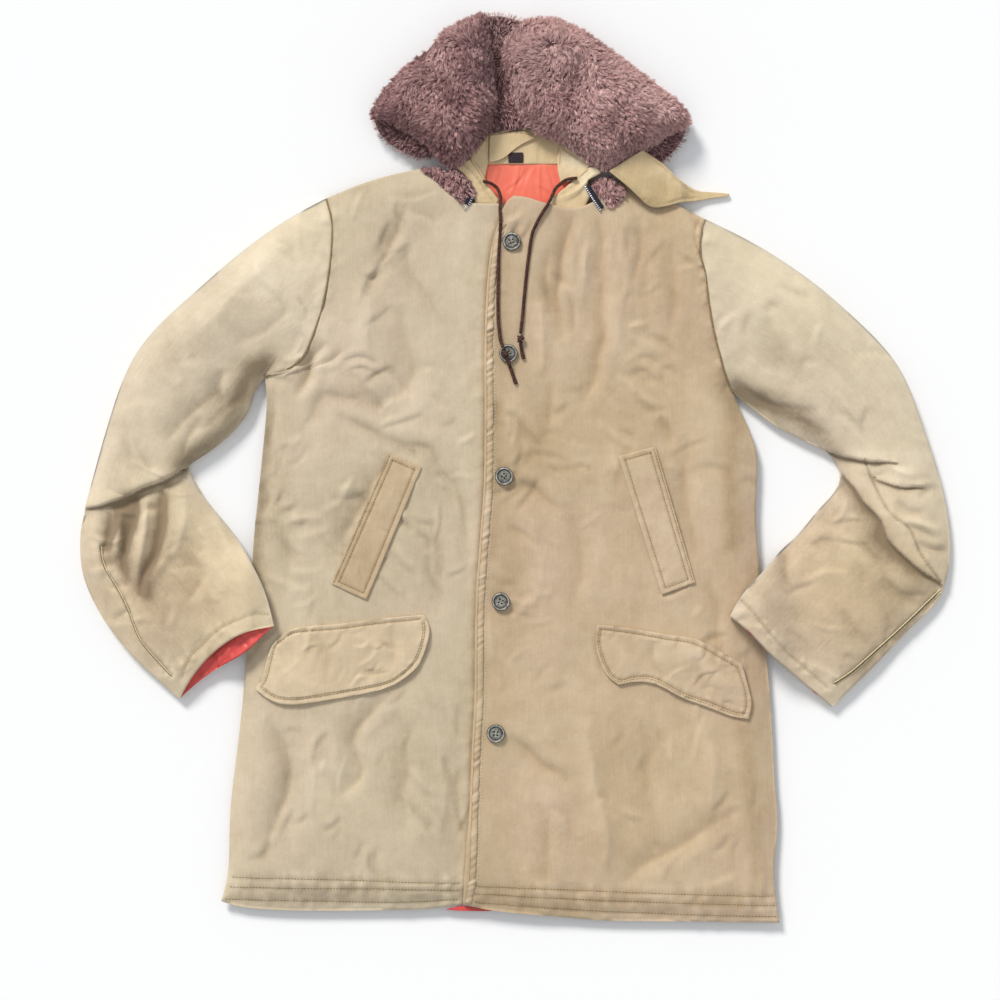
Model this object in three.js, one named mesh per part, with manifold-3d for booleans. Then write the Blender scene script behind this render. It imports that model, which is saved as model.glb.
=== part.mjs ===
// Military parka with a pile-lined hood, laid flat with its front up.
// Millimetres. +Z is up from the table, +Y points to the hood and +X to the photo's right.
import * as THREE from 'three';
import { mergeVertices } from 'three/addons/utils/BufferGeometryUtils.js';
import Module from 'manifold-3d';

const wasm = await Module();
wasm.setup();

// Driving sizes
const seamGap = 0.3;
const halfGap = 0.4;
const backThick = 8;
const frontWall = 12;
const sleeveWall = 15;
const edgeThick = 2.7;
const edgeRoll = 34;
const bodyLoft = 10;
const sleeveLoft = 13;
const crownRise = 3;
const crownReach = 130;
const floorLevel = backThick + seamGap;
const buttonDiameter = 22;
const buttonThick = 3.6;
const cordDiameter = 4;
const standWidth = 42;
const standThick = 3;
const flapThick = 4;
const weltThick = 3;
const zipWidth = 7;
const shellThick = 2;
const hoodBackTop = 18;
const hoodEdge = 9;
const hoodLoft = 30;
const hoodRoll = 46;
const cuffRise = 24;
const cuffRamp = 50;
const liningThick = 2;
const stripLevel = 22;
const stripLoft = 5;
const stripRoll = 12;
const strapThick = 4.5;
const shellMargin = 3;
const facingThick = 3;
const tabThick = 1;
const pocketBite = 2.5;
const buttonFace = 2.4;
const buttonHole = 1.1;
const buttonHoleOut = 3;
const buttonLift = 0.5;

// Rows of named columns
function table(columns, ...rows) {
  const names = columns.split(' ');
  return rows.map((row) => Object.fromEntries(names.map((name, k) => [name, row[k]])));
}

// Outlines of the body, each from the hem upwards or from left to right
const sideLeft = table('x y', [-353, -521], [-344, -487], [-342, -410], [-329, -300], [-320, -196],
  [-314, -88], [-308, -30], [-301, 40], [-297, 92], [-301, 111]);
const armholeLeft = table('x y', [-256, 131], [-246, 150], [-238, 171], [-230, 198], [-224, 230],
  [-220, 264],
  [-220, 296], [-227, 324]);
const shoulderLeft = table('x y', [-227, 324], [-194, 338], [-157, 350], [-112, 360]);
const neckLeft = table('x y', [-112, 360], [-92, 340], [-68, 320], [-40, 317], [-13, 317]);
const placketEdge = table('x y', [-62, -524], [-60, -480], [-54, -410], [-51, -330], [-48, -276],
  [-47, -170],
  [-42, -89], [-37, -20], [-36, 60], [-36, 154], [-33, 222], [-27, 271], [-17, 300], [-13, 317]);
const hemLeft = table('x y', [-353, -521], [-329, -528], [-268, -532], [-185, -532], [-102, -530],
  [-62, -524]);
const hemRight = table('x y', [-62, -524], [-52, -528], [-7, -534], [48, -539], [103, -544], [186, -545],
  [254, -546], [318, -547]);
const neckRight = table('x y', [-13, 317], [-7, 325], [17, 324], [32, 318], [74, 311], [106, 326],
  [128, 346]);
const shoulderRight = table('x y', [128, 346], [193, 317], [229, 299]);
const armholeRight = table('x y', [262, 91], [257, 101], [247, 132], [238, 169], [233, 199], [229, 232],
  [223, 256], [224, 280], [229, 299]);
const sideRight = table('x y', [318, -547], [311, -490], [316, -424], [312, -383], [308, -300],
  [302, -222],
  [294, -130], [290, -73], [289, -43], [292, 7], [286, 37], [269, 72], [262, 91]);

// Sections across each sleeve from the armhole to the cuff: outer edge, inner edge
const sleeveLeft = table('outerX outerY innerX innerY', [-227, 324, -256, 131], [-258, 308, -279, 116],
  [-292, 287, -301, 111], [-335, 255, -314, 92], [-378, 217, -323, 66], [-452, 147, -343, 41],
  [-486, 64, -372, 18], [-510, -22, -391, 6], [-519, -56, -394, -3], [-523, -92, -384, -20],
  [-519, -132, -372, -40], [-499, -175, -350, -66], [-480, -202, -328, -94], [-460, -226, -314, -118],
  [-432, -252, -299, -150], [-404, -277, -289, -189]);
const sleeveRight = table('outerX outerY innerX innerY', [229, 299, 262, 91], [288, 270, 286, 73],
  [348, 231, 312, 53], [402, 186, 335, 41], [461, 125, 359, 29], [488, 58, 379, 19],
  [509, -5, 394, -7], [521, -62, 386, -30], [523, -112, 366, -51], [510, -158, 341, -82],
  [475, -192, 320, -100], [436, -234, 296, -126], [405, -264, 272, -152], [383, -286, 258, -177]);
const cuffLeft = table('x y', [-404, -277], [-394, -258], [-376, -234], [-349, -210], [-319, -194],
  [-289, -189]);
const cuffRight = table('x y', [383, -286], [371, -276], [341, -252], [306, -222], [282, -196],
  [258, -177]);
const cuffLiningLeft = table('x y', [-404, -277], [-376, -253], [-355, -239], [-322, -221], [-303, -202],
  [-289, -189]);

// Folds: a line with its sideways bow, half width and height, negative where the cloth sinks
const foldNames = 'x0 y0 x1 y1 bow width height';
const bodyFolds = table(foldNames, [-170, 330, -206, 266, 4, 11, -4], [-128, 276, -175, 230, -4, 11, -3],
  [-131, 259, -114, 205, 4, 10, -3], [-239, 144, -251, 100, 3, 11, -4], [-145, 137, -145, 60, 3, 13, -3],
  [-262, -292, -282, -464, 8, 17, -5], [-180, -355, -214, -396, -5, 13, -5],
  [-92, 0, -54, -92, -12, 13, -4],
  [-210, -60, -230, 70, 10, 22, 3], [-120, -360, -100, -490, 6, 20, 3],
  [73, 296, 52, 199, 8, 11, -4], [104, 247, 80, 77, -12, 13, -4], [64, 194, 71, 162, 3, 9, -3],
  [41, 101, 38, 40, 3, 11, -3], [166, 62, 192, 24, 4, 10, -3], [0, -14, 54, -50, 4, 9, -3],
  [-7, -324, 65, -377, -5, 11, -4], [86, -300, 114, -500, 10, 15, 4], [268, -410, 114, -506, -8, 13, -4],
  [150, 120, 200, -20, 10, 24, 3], [214, -320, 236, -470, 6, 20, 3]);
const sleeveFolds = table(foldNames, [-262, 230, -440, 30, -30, 52, 5],
  [-424, -24, -442, -148, 10, 15, 5],
  [-466, -34, -482, -120, 6, 12, -4], [-372, -60, -340, -150, 12, 20, 3],
  [-330, 200, -352, 90, 10, 16, -3],
  [-300, 250, -390, 150, 12, 14, 3], [262, 210, 430, 50, 30, 52, 5], [395, -16, 440, -60, -4, 11, -5],
  [440, -60, 512, -142, 6, 11, -5], [340, -110, 400, -210, 10, 24, 4], [300, 180, 330, 80, -10, 16, -3],
  [448, -50, 492, -112, 12, 16, 4]);
// Where the upper arm laps over the forearm: the lap's line, and the step down past it
const elbowLaps = table('x0 y0 x1 y1 step reach', [-518, -50, -394, 1, 8, 46], [380, 18, 452, 8, 6, 34]);

// Plan geometry
const pair = (row) => [row.x, row.y];
const pairs = (rows) => rows.map(pair);
const clamp = (t) => Math.min(1, Math.max(0, t));
const ease = (t) => clamp(t) ** 2 * (3 - 2 * clamp(t));
const dome = (t) => Math.sqrt(1 - (1 - clamp(t)) ** 2);

// A smooth curve through the points, in equal steps
function spaced(points, cells) {
  const curve = new THREE.SplineCurve(points.map(([x, y]) => new THREE.Vector2(x, y)));
  return curve.getSpacedPoints(cells).map((p) => [p.x, p.y]);
}

// A smooth curve through the points, with the same number of steps between each two of them
function stepped(points, cells) {
  const curve = new THREE.SplineCurve(points.map(([x, y]) => new THREE.Vector2(x, y)));
  return curve.getPoints(cells).map((p) => [p.x, p.y]);
}

// The line moved sideways, to the left of its direction where distance is positive
function offset(points, distance) {
  return points.map(([x, y], k) => {
    const [ax, ay] = points[Math.max(0, k - 1)];
    const [bx, by] = points[Math.min(points.length - 1, k + 1)];
    const long = Math.hypot(bx - ax, by - ay);
    return [x - ((by - ay) / long) * distance, y + ((bx - ax) / long) * distance];
  });
}

function distanceTo(points, x, y) {
  let least = Infinity;
  for (let k = 0; k + 1 < points.length; k += 1) {
    const [ax, ay] = points[k];
    const [dx, dy] = [points[k + 1][0] - ax, points[k + 1][1] - ay];
    const t = clamp(((x - ax) * dx + (y - ay) * dy) / (dx * dx + dy * dy));
    least = Math.min(least, Math.hypot(x - ax - t * dx, y - ay - t * dy));
  }
  return least;
}

const nearest = (edges, x, y) => Math.min(...edges.map((edge) => distanceTo(edge, x, y)));

// Where a point lies along a line, 0 to 1, and how far to its left
function beside(row, x, y) {
  const [dx, dy] = [row.x1 - row.x0, row.y1 - row.y0];
  const long = Math.hypot(dx, dy);
  const along = ((x - row.x0) * dx + (y - row.y0) * dy) / long ** 2;
  return { along, off: ((y - row.y0) * dx - (x - row.x0) * dy) / long };
}

function foldsAt(folds, x, y) {
  let z = 0;
  for (const fold of folds) {
    const { along, off } = beside(fold, x, y);
    if (along > 0 && along < 1) {
      const bowed = off - fold.bow * Math.sin(Math.PI * along);
      z += fold.height * Math.sin(Math.PI * along) ** 0.7 * Math.exp(-((bowed / fold.width) ** 2));
    }
  }
  return z;
}

function lapsAt(x, y) {
  let z = 0;
  for (const lap of elbowLaps) {
    const { along, off } = beside(lap, x, y);
    const inside = ease(along * 12 + 1) * ease((1 - along) * 12 + 1);
    const past = -off;
    if (past > 0 && past < 3 * lap.reach) {
      z -= inside * lap.step * ease(past / 6) * Math.exp(-((past / lap.reach) ** 2));
    }
  }
  return z;
}

// A grid of plan points between two long edges and two ends that meet at the corners
function planGrid(left, right, start, end) {
  const [rows, columns] = [left.length - 1, start.length - 1];
  const mix = (a, b, t) => [a[0] + (b[0] - a[0]) * t, a[1] + (b[1] - a[1]) * t];
  return left.map((leftPoint, j) => start.map((startPoint, i) => {
    const [u, v] = [i / columns, j / rows];
    const across = mix(leftPoint, right[j], u);
    const along = mix(startPoint, end[i], v);
    const flat = mix(mix(start[0], start[columns], u), mix(end[0], end[columns], u), v);
    return [across[0] + along[0] - flat[0], across[1] + along[1] - flat[1]];
  }));
}

// Solids
function solidOf(geometry) {
  const bare = geometry.clone();
  bare.deleteAttribute('normal');
  bare.deleteAttribute('uv');
  const merged = mergeVertices(bare, 1e-3);
  const vertProperties = new Float32Array(merged.attributes.position.array);
  const triVerts = new Uint32Array(merged.index.array);
  return new wasm.Manifold(new wasm.Mesh({ numProp: 3, vertProperties, triVerts }));
}

function geometryOf(solid) {
  const { vertProperties, triVerts } = solid.getMesh();
  const geometry = new THREE.BufferGeometry();
  geometry.setAttribute('position', new THREE.BufferAttribute(new Float32Array(vertProperties), 3));
  geometry.setIndex(new THREE.BufferAttribute(new Uint32Array(triVerts), 1));
  return geometry;
}

// The piece cut back so that it lies a seam's gap above each carrier
function seat(piece, ...carriers) {
  const cut = carriers.reduce(
    (solid, carrier) => solid.subtract(solidOf(carrier.clone().translate(0, 0, seamGap))),
    solidOf(piece),
  );
  return geometryOf(cut);
}

// A wall over a plan grid: its top is given, and its underside follows at the wall's thickness
// or on the floor.
// With a step of 2 the underside has every second row and column, and every point of the rim.
function wallOver(plan, topAt, floorAt, wall, step = 1) {
  const [rows, columns] = [plan.length - 1, plan[0].length - 1];
  const top = plan.map((row) => row.map(([x, y]) => topAt(x, y)));
  const positions = [];
  const index = [];
  const below = new Map();
  plan.forEach((row, j) => row.forEach(([x, y], i) => positions.push(x, y, top[j][i])));
  const topId = (i, j) => j * (columns + 1) + i;
  const bottomId = (i, j) => {
    const id = topId(i, j);
    if (!below.has(id)) {
      let lowest = Infinity;
      for (let dj = 1 - step; dj < step; dj += 1) {
        for (let di = 1 - step; di < step; di += 1) {
          lowest = Math.min(lowest, top[j + dj]?.[i + di] ?? Infinity);
        }
      }
      const [x, y] = plan[j][i];
      below.set(id, positions.length / 3);
      positions.push(x, y, Math.max(floorAt(x, y), lowest - wall));
    }
    return below.get(id);
  };
  const rim = [];
  for (let i = 0; i < columns; i += 1) rim.push([i, 0]);
  for (let j = 0; j < rows; j += 1) rim.push([columns, j]);
  for (let i = columns; i > 0; i -= 1) rim.push([i, rows]);
  for (let j = rows; j > 0; j -= 1) rim.push([0, j]);
  const turned = THREE.ShapeUtils.isClockWise(rim.map(([i, j]) => new THREE.Vector2(...plan[j][i])));
  const face = (a, b, c) => index.push(...(turned ? [a, c, b] : [a, b, c]));
  for (let j = 0; j < rows; j += 1) {
    for (let i = 0; i < columns; i += 1) {
      face(topId(i, j), topId(i + 1, j), topId(i + 1, j + 1));
      face(topId(i, j), topId(i + 1, j + 1), topId(i, j + 1));
    }
  }
  const between = (i, j) => (step > 1 ? [i, j, 0] : null);
  for (let j = 0; j < rows; j += step) {
    for (let i = 0; i < columns; i += step) {
      const [right, far] = [i + step, j + step];
      const ring = [
        [i, j, 1], j === 0 && between(i + 1, j), [right, j, 1],
        right === columns && between(right, j + 1),
        [right, far, 1], far === rows && between(i + 1, far), [i, far, 1], i === 0 && between(i, j + 1),
      ].filter(Boolean);
      const first = Math.max(0, ring.findIndex((point) => point[2] === 0));
      const ids = ring.map((_, k) => bottomId(...ring[(first + k) % ring.length].slice(0, 2)));
      for (let k = 1; k + 1 < ids.length; k += 1) {
        face(ids[0], ids[k + 1], ids[k]);
      }
    }
  }
  rim.forEach((here, k) => {
    const next = rim[(k + 1) % rim.length];
    face(topId(...here), bottomId(...here), bottomId(...next));
    face(topId(...here), bottomId(...next), topId(...next));
  });
  const geometry = new THREE.BufferGeometry();
  geometry.setAttribute('position', new THREE.Float32BufferAttribute(positions, 3));
  geometry.setIndex(index);
  return geometry;
}

// A flat piece with the given outline, from one level to another, its top edge turned over a little
function flatPiece(outline, bottom, top, turn = 0) {
  const shape = new THREE.Shape(outline.map(([x, y]) => new THREE.Vector2(x, y)));
  const settings = turn > 0
    ? { depth: top - bottom - 2 * turn, bevelEnabled: true, bevelThickness: turn, bevelSize: turn,
      bevelOffset: -turn, bevelSegments: 1 }
    : { depth: top - bottom, bevelEnabled: false };
  return new THREE.ExtrudeGeometry(shape, settings).translate(0, 0, bottom + turn);
}

// The piece sheared so that its height also grows along x and y from a given point
function tilted(geometry, x0, y0, slopeX, slopeY) {
  const start = -slopeX * x0 - slopeY * y0;
  return geometry.applyMatrix4(new THREE.Matrix4().set(1, 0, 0, 0, 0, 1, 0, 0, slopeX, slopeY, 1,
  start, 0, 0, 0, 1));
}

const parka = new THREE.Group();
const colours = {
  cloth: ['#c9b68f', 0.9],
  pile: ['#8c6a6b', 1],
  lining: ['#f07860', 0.6],
  tab: ['#2f1f25', 0.9],
  button: ['#8a8d87', 0.4],
  cord: ['#3a1f1a', 0.8],
  zip: ['#2a2238', 0.7],
};

function add(name, kind, geometry) {
  const [color, roughness] = colours[kind];
  const mesh = new THREE.Mesh(geometry, new THREE.MeshStandardMaterial({ color, roughness,
  metalness: 0 }));
  mesh.name = name;
  parka.add(mesh);
  return geometry;
}

// Shared lines
const outerOf = (sections) => sections.map((row) => [row.outerX, row.outerY]);
const innerOf = (sections) => sections.map((row) => [row.innerX, row.innerY]);
const stepsPerSection = 2;
const [sideCells, armholeCells, frontColumns] = [24, 8, 16];
const lines = {
  sideLeft: spaced(pairs(sideLeft), sideCells),
  sideRight: spaced(pairs(sideRight), sideCells),
  hemLeft: spaced(pairs(hemLeft), frontColumns),
  hemRight: spaced(pairs(hemRight), frontColumns),
  outerLeft: stepped(outerOf(sleeveLeft), stepsPerSection * (sleeveLeft.length - 1)),
  outerRight: stepped(outerOf(sleeveRight), stepsPerSection * (sleeveRight.length - 1)),
  innerLeft: stepped(innerOf(sleeveLeft), stepsPerSection * (sleeveLeft.length - 1)),
  innerRight: stepped(innerOf(sleeveRight), stepsPerSection * (sleeveRight.length - 1)),
};
// The left armhole runs along the sleeve's inner edge for its first sections, up to the armpit
const underarmCells = { left: 2 * stepsPerSection, right: 0 };
lines.armholeLeft = [...lines.innerLeft.slice(0, underarmCells.left + 1).reverse(),
  ...spaced(pairs(armholeLeft), armholeCells).slice(1)];
lines.armholeRight = spaced(pairs(armholeRight), armholeCells);
const rowsOf = { left: sideCells + underarmCells.left + armholeCells, right: sideCells + armholeCells };
lines.placket = spaced(pairs(placketEdge), rowsOf.left);
lines.placketRight = spaced(pairs(placketEdge), rowsOf.right);
const armpitCells = underarmCells.left + 6;
const freeLeft = [lines.sideLeft, lines.hemLeft, pairs(shoulderLeft), lines.outerLeft,
  lines.innerLeft.slice(underarmCells.left, armpitCells)];
const freeRight = [lines.sideRight, lines.hemRight, pairs(shoulderRight), lines.outerRight,
  lines.innerRight.slice(0, armpitCells - underarmCells.left)];
const sleeveFreeLeft = [lines.outerLeft, lines.innerLeft.slice(underarmCells.left), pairs(shoulderLeft),
  lines.sideLeft.slice(-4)];
const sleeveFreeRight = [lines.outerRight, lines.innerRight, pairs(shoulderRight),
  lines.sideRight.slice(-4)];

// How high the cloth lies at a distance from its free edge
function loftAt(distance, loft) {
  return floorLevel + edgeThick + loft * dome(distance / edgeRoll) + crownRise * ease(distance / crownReach);
}

// The sleeves are fuller than the body, which they meet at the armhole
function fullness(x, y, armhole) {
  const into = ease(distanceTo(armhole, x, y) / 60);
  return bodyLoft + (sleeveLoft - bodyLoft) * into;
}

const placketRise = 2;
const placketReach = 26;
const standReach = standWidth + 48;
const standStep = standThick + seamGap;
const standLift = (x, y) => standStep * (1 - ease((distanceTo(lines.placket, x, y) - standReach) / 40));
const edgeRidge = (x, y) => Math.exp(-((distanceTo(lines.placket, x, y) / placketReach) ** 2));

function topOfLeft(x, y) {
  const free = nearest(freeLeft, x, y);
  return loftAt(free, bodyLoft) + foldsAt(bodyFolds, x, y) - placketRise * edgeRidge(x,
  y) * dome(free / edgeRoll);
}

function topOfRight(x, y) {
  const free = nearest(freeRight, x, y);
  return loftAt(free, bodyLoft) + standLift(x, y) + foldsAt(bodyFolds, x, y)
    + placketRise * edgeRidge(x, y) * dome(free / edgeRoll);
}

// How far a point lies inside the body's side, at its own height
function insideOf(side, x, y) {
  const k = Math.max(1, side.findIndex((point) => point[1] >= y));
  const [[ax, ay], [bx, by]] = [side[k - 1], side[k]];
  const edge = ax + ((bx - ax) * (y - ay)) / (by - ay);
  return Math.sign(-edge) * (x - edge);
}

// Each cuff rides up over the side of the body
function liftAt(side, x, y) {
  return cuffRise * ease((insideOf(side, x, y) + cuffRamp - 5) / cuffRamp) * ease((-60 - y) / 60);
}

// Body
const backNeck = [[-60, 372], [-40, 398], [40, 398], [66, 374]];
const backOutline = [
  ...pairs(hemLeft).reverse().slice(1),
  ...lines.sideLeft.slice(1, -1),
  ...offset(lines.armholeLeft, -halfGap).slice(1, -1),
  ...pairs(shoulderLeft),
  ...backNeck,
  ...pairs(shoulderRight),
  ...offset(lines.armholeRight, halfGap).reverse().slice(1, -1),
  ...[...lines.sideRight].reverse().slice(1, -1),
  ...pairs(hemRight).reverse().slice(0, -2),
  [-28, -534], [-66, -533.5],
];
add('back', 'cloth', flatPiece(backOutline.reverse(), 0, backThick, 2));

const leftPlan = planGrid(
  [...lines.sideLeft.slice(0, -1), ...offset(lines.armholeLeft, -halfGap)],
  offset(lines.placket, 0.2),
  lines.hemLeft,
  [...spaced(pairs(shoulderLeft), 6), ...spaced(pairs(neckLeft), 10).slice(1)],
);
const frontLeft = add('front_left', 'cloth', wallOver(leftPlan, topOfLeft, () => floorLevel, frontWall,
  2));

const rightPlan = planGrid(
  offset(lines.placketRight, -0.3),
  [...lines.sideRight.slice(0, -1), ...offset(lines.armholeRight, halfGap)],
  lines.hemRight,
  [...spaced(pairs(neckRight), 10), ...spaced(pairs(shoulderRight), 6).slice(1)],
);
const rightFloor = (x, y) => floorLevel + standLift(x, y);
const frontRight = add('front_right', 'cloth', wallOver(rightPlan, topOfRight, rightFloor, frontWall,
  2));

const standLine = lines.placket.slice(1, -1);
const standOutline = [...offset(standLine, -0.4), ...offset(standLine, -standWidth).reverse()];
add('button_stand', 'cloth', flatPiece(standOutline.reverse(), floorLevel, floorLevel + standThick));

// Sleeves: an under wall on the table and an over wall on it, with the cuff's lining between their ends
function sleeve(side, edges, armhole, gap, underarm, bodySide, free, cuff, liningEdge) {
  const seam = offset(armhole, gap).reverse();
  const start = seam.slice(0, armholeCells + 1);
  const outer = [start[0], ...edges[0].slice(1)];
  const inner = [...seam.slice(armholeCells), ...edges[1].slice(underarm + 1)];
  const cuffEnd = spaced(cuff, armholeCells);
  const towardsArm = -Math.sign(cuff[0][0]);
  const lift = (x, y) => liftAt(bodySide, x, y);
  const nearCuff = (x, y, reach) => 1 - ease(distanceTo(cuffEnd, x, y) / reach);
  const underTop = (x, y) => lift(x, y) + backThick;
  const overFloor = (x, y) => underTop(x, y) + seamGap;
  const overTop = (x, y) => overFloor(x, y) - floorLevel
    + loftAt(nearest(free, x, y), fullness(x, y, armhole) * (1 - 0.5 * nearCuff(x, y, 70)))
    + foldsAt(sleeveFolds, x, y) + lapsAt(x, y);
  const overPlan = planGrid(outer, inner, start, cuffEnd);
  add(`sleeve_${side}_over`, 'cloth', wallOver(overPlan, overTop, overFloor, sleeveWall));

  // The under wall has the same grid and reaches past the over wall's edge, as far as the lining
  const liningEnd = spaced(liningEdge, armholeCells);
  const underPlan = [...overPlan, offset(liningEnd, 1.5 * towardsArm)];
  const under = add(`sleeve_${side}_under`, 'cloth', wallOver(underPlan, underTop, lift, backThick));

  const liningStart = offset(cuffEnd, -0.4 * towardsArm);
  const ends = [0, armholeCells].map((k) => spaced([liningStart[k], liningEnd[k]], 1));
  const liningPlan = planGrid(liningStart, liningEnd, ...ends);
  const liningTop = (x, y) => underTop(x, y) + seamGap + liningThick;
  const lining = wallOver(liningPlan, liningTop, (x, y) => underTop(x, y) - 1, 9);
  add(`lining_cuff_${side}`, 'lining', seat(lining, under));
}
sleeve('left', [lines.outerLeft, lines.innerLeft], lines.armholeLeft, halfGap, underarmCells.left,
  lines.sideLeft, sleeveFreeLeft, pairs(cuffLeft), pairs(cuffLiningLeft));
sleeve('right', [lines.outerRight, lines.innerRight], lines.armholeRight, -halfGap, underarmCells.right,
  lines.sideRight, sleeveFreeRight, pairs(cuffRight), offset(pairs(cuffRight), 3));

// Hood: outer cloth on the table, the pile of its back, and its two sides turned out over the back
const hoodBackPlan = planGrid(
  spaced([[-118, 371], [-136, 379], [-156, 391], [-175, 419], [-166, 439], [-138, 475], [-109, 499],
  [-84, 523]], 10),
  spaced([[178, 366], [204, 392], [211, 416], [205, 430], [167, 463], [132, 487], [89, 520]], 10),
  spaced([[-118, 371], [-95, 374], [-70, 381], [-48, 396], [-32, 405], [10, 409], [45, 404], [72, 386],
  [100, 374],
    [140, 369], [178, 366]], 12),
  spaced([[-84, 523], [-54, 539], [-34, 547], [-7, 546], [10, 539], [53, 538], [89, 520]], 12),
);
const rimOf = (plan) => [
  ...plan[0],
  ...plan.slice(1).map((row) => row.at(-1)),
  ...plan.at(-1).slice(0, -1).reverse(),
  ...plan.slice(1, -1).map((row) => row[0]).reverse(),
];
add('hood_shell', 'cloth', flatPiece(offset(rimOf(hoodBackPlan), shellMargin), 0, shellThick));
const hoodBack = add('hood_back', 'pile',
  wallOver(hoodBackPlan, () => hoodBackTop, () => shellThick + seamGap, hoodBackTop));

const lobeFloor = hoodBackTop + seamGap;
const lobeFolds = table(foldNames, [62, 420, 84, 505, 10, 16, -7], [-120, 425, -92, 492, 8, 16, -4],
  [120, 400, 140, 450, 6, 18, 4], [0, 440, 30, 520, 8, 16, 4]);
function lobe(name, left, right, start, end) {
  const plan = planGrid(spaced(left, 12), spaced(right, 12), spaced(start, 10), spaced(end, 10));
  const rim = rimOf(plan);
  const top = (x, y) => lobeFloor + hoodEdge
    + hoodLoft * dome(distanceTo([...rim, rim[0]], x, y) / hoodRoll) + foldsAt(lobeFolds, x, y);
  return add(name, 'pile', wallOver(plan, top, () => lobeFloor, hoodBackTop + hoodLoft + hoodEdge));
}
lobe('hood_left',
  [[-172, 418], [-166, 437], [-138, 473], [-109, 497], [-84, 521]],
  [[-73, 361], [-56, 375], [-43, 389], [-31, 412], [-25, 436], [-23, 466], [-24, 496], [-34, 520],
  [-36, 545]],
  [[-172, 418], [-152, 418], [-131, 408], [-114, 397], [-97, 380], [-88, 368], [-73, 361]],
  [[-84, 521], [-66, 532], [-52, 539], [-36, 545]]);
lobe('hood_right',
  [[112, 357], [91, 368], [60, 387], [50, 398], [35, 399], [22, 407], [14, 414], [2, 430], [-5, 454],
  [-10, 478],
    [-12, 508]],
  [[208, 411], [210, 416], [203, 430], [167, 461], [132, 485], [89, 518]],
  [[112, 357], [119, 361], [152, 383], [167, 389], [176, 400], [187, 404], [208, 411]],
  [[-12, 508], [4, 532], [30, 538], [53, 536], [89, 518]]);

// Pile strips beside the zips, lying over the fronts and the back of the neck
function onFronts(name, kind, plan, top, bottom, ...carriers) {
  const piece = wallOver(plan, top, bottom, Infinity);
  return add(name, kind, seat(piece, ...carriers));
}
const zipPaths = {
  left: spaced([[-77, 357], [-66, 349], [-58, 341], [-54, 332], [-54, 324], [-58, 316]], 6),
  right: spaced([[87, 338], [91, 331], [98, 320], [104, 311]], 6),
};
const besideZip = zipWidth / 2 + 0.5;
const stripEdge = { left: offset(zipPaths.left, -besideZip), right: offset(zipPaths.right, besideZip) };
const stripPlanLeft = planGrid(
  spaced([[-113, 362], [-106, 356], [-91, 342], [-78, 328], [-67, 316]], 6),
  stripEdge.left,
  spaced([[-113, 362], [-95, 363], stripEdge.left[0]], 4),
  spaced([[-67, 316], stripEdge.left[6]], 4),
);
const stripPlanRight = planGrid(
  [...stripEdge.right].reverse(),
  spaced([[126, 322], [134, 334], [122, 345], [111, 352]], 6),
  spaced([stripEdge.right[6], [118, 314], [126, 322]], 4),
  spaced([stripEdge.right[0], [102, 349], [111, 352]], 4),
);
const stripFloor = { left: 11.6, right: 12.4 };
const stripTop = (plan) => (x, y) => stripLevel
  + stripLoft * dome(distanceTo([...rimOf(plan), plan[0][0]], x, y) / stripRoll);
onFronts('hood_strip_left', 'pile', stripPlanLeft, stripTop(stripPlanLeft),
  () => stripFloor.left, frontLeft);
const stripRight = onFronts('hood_strip_right', 'pile', stripPlanRight, stripTop(stripPlanRight),
  () => stripFloor.right, frontRight);

// Hood zip halves along the strips' edges
const zipTop = { left: 24.5, right: 26 };
const zipDepth = 8;
function zip(name, line, top, ...carriers) {
  const [left, right] = [offset(line, zipWidth / 2), offset(line, -zipWidth / 2)];
  const plan = planGrid(left, right, spaced([left[0], right[0]], 2), spaced([left.at(-1),
  right.at(-1)], 2));
  return onFronts(name, 'zip', plan, () => top, () => top - zipDepth, ...carriers);
}
zip('zip_left', zipPaths.left, zipTop.left, frontLeft);
zip('zip_right', zipPaths.right, zipTop.right, frontRight);

// Neck, from the back lining upwards, each piece between two levels above the table
const liningTopLevel = floorLevel + liningThick;
const facingTopLevel = floorLevel + facingThick;
const neckLevels = {
  lining: [floorLevel, liningTopLevel],
  facing: [floorLevel, facingTopLevel],
  tab: [facingTopLevel + seamGap, facingTopLevel + seamGap + tabThick],
  flap: [floorLevel + 5, floorLevel + 6.5],
  inner: [12, 15],
  collarLeft: [15.4, 21],
  collarRight: [15.9, 22],
};
const collarBevel = 1;
add('lining_neck', 'lining', flatPiece([[-44, 318.5], [-12, 318.5], [-12, 300], [60, 300], [66, 345],
  [51, 366.5], [-33, 366.5], [-48, 345]], ...neckLevels.lining));
add('neck_facing', 'cloth', flatPiece([[-33, 367], [51, 367], [51, 374], [54, 390], [42, 401], [10, 405],
  [-31, 401]], ...neckLevels.facing));
add('neck_tab', 'tab', flatPiece([[-8, 367.4], [10, 367.4], [10, 380], [-8, 380]], ...neckLevels.tab));
add('neck_flap', 'cloth', flatPiece([[-31, 368], [-19, 370], [-10, 375], [0, 385], [11, 391.5],
  [25, 397.5], [10, 404], [-30, 400]], ...neckLevels.flap));
add('facing_left', 'cloth', tilted(flatPiece([[-53, 371], [-51, 379], [-36, 399], [-33.5, 397],
  [-33.5, 367], [-38, 346], [-46, 359]], ...neckLevels.inner), -40, 370, -0.15, 0));
add('facing_right', 'cloth', tilted(flatPiece([[55.1, 389.8], [61.4, 385.8], [91.4, 367.3], [83, 355],
  [72, 347.5], [56, 343.5], [52.5, 358], [51.5, 373]], ...neckLevels.inner), 60, 366, 0.12, 0));
add('collar_left', 'cloth', flatPiece([[-55, 370], [-46, 357.5], [-37.5, 344.5], [-20.5, 322],
  [-22, 318],
  [-47, 318.5], [-49, 332], [-52, 343], [-62, 354.5], [-70, 361]],
  ...neckLevels.collarLeft, collarBevel));
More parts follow.
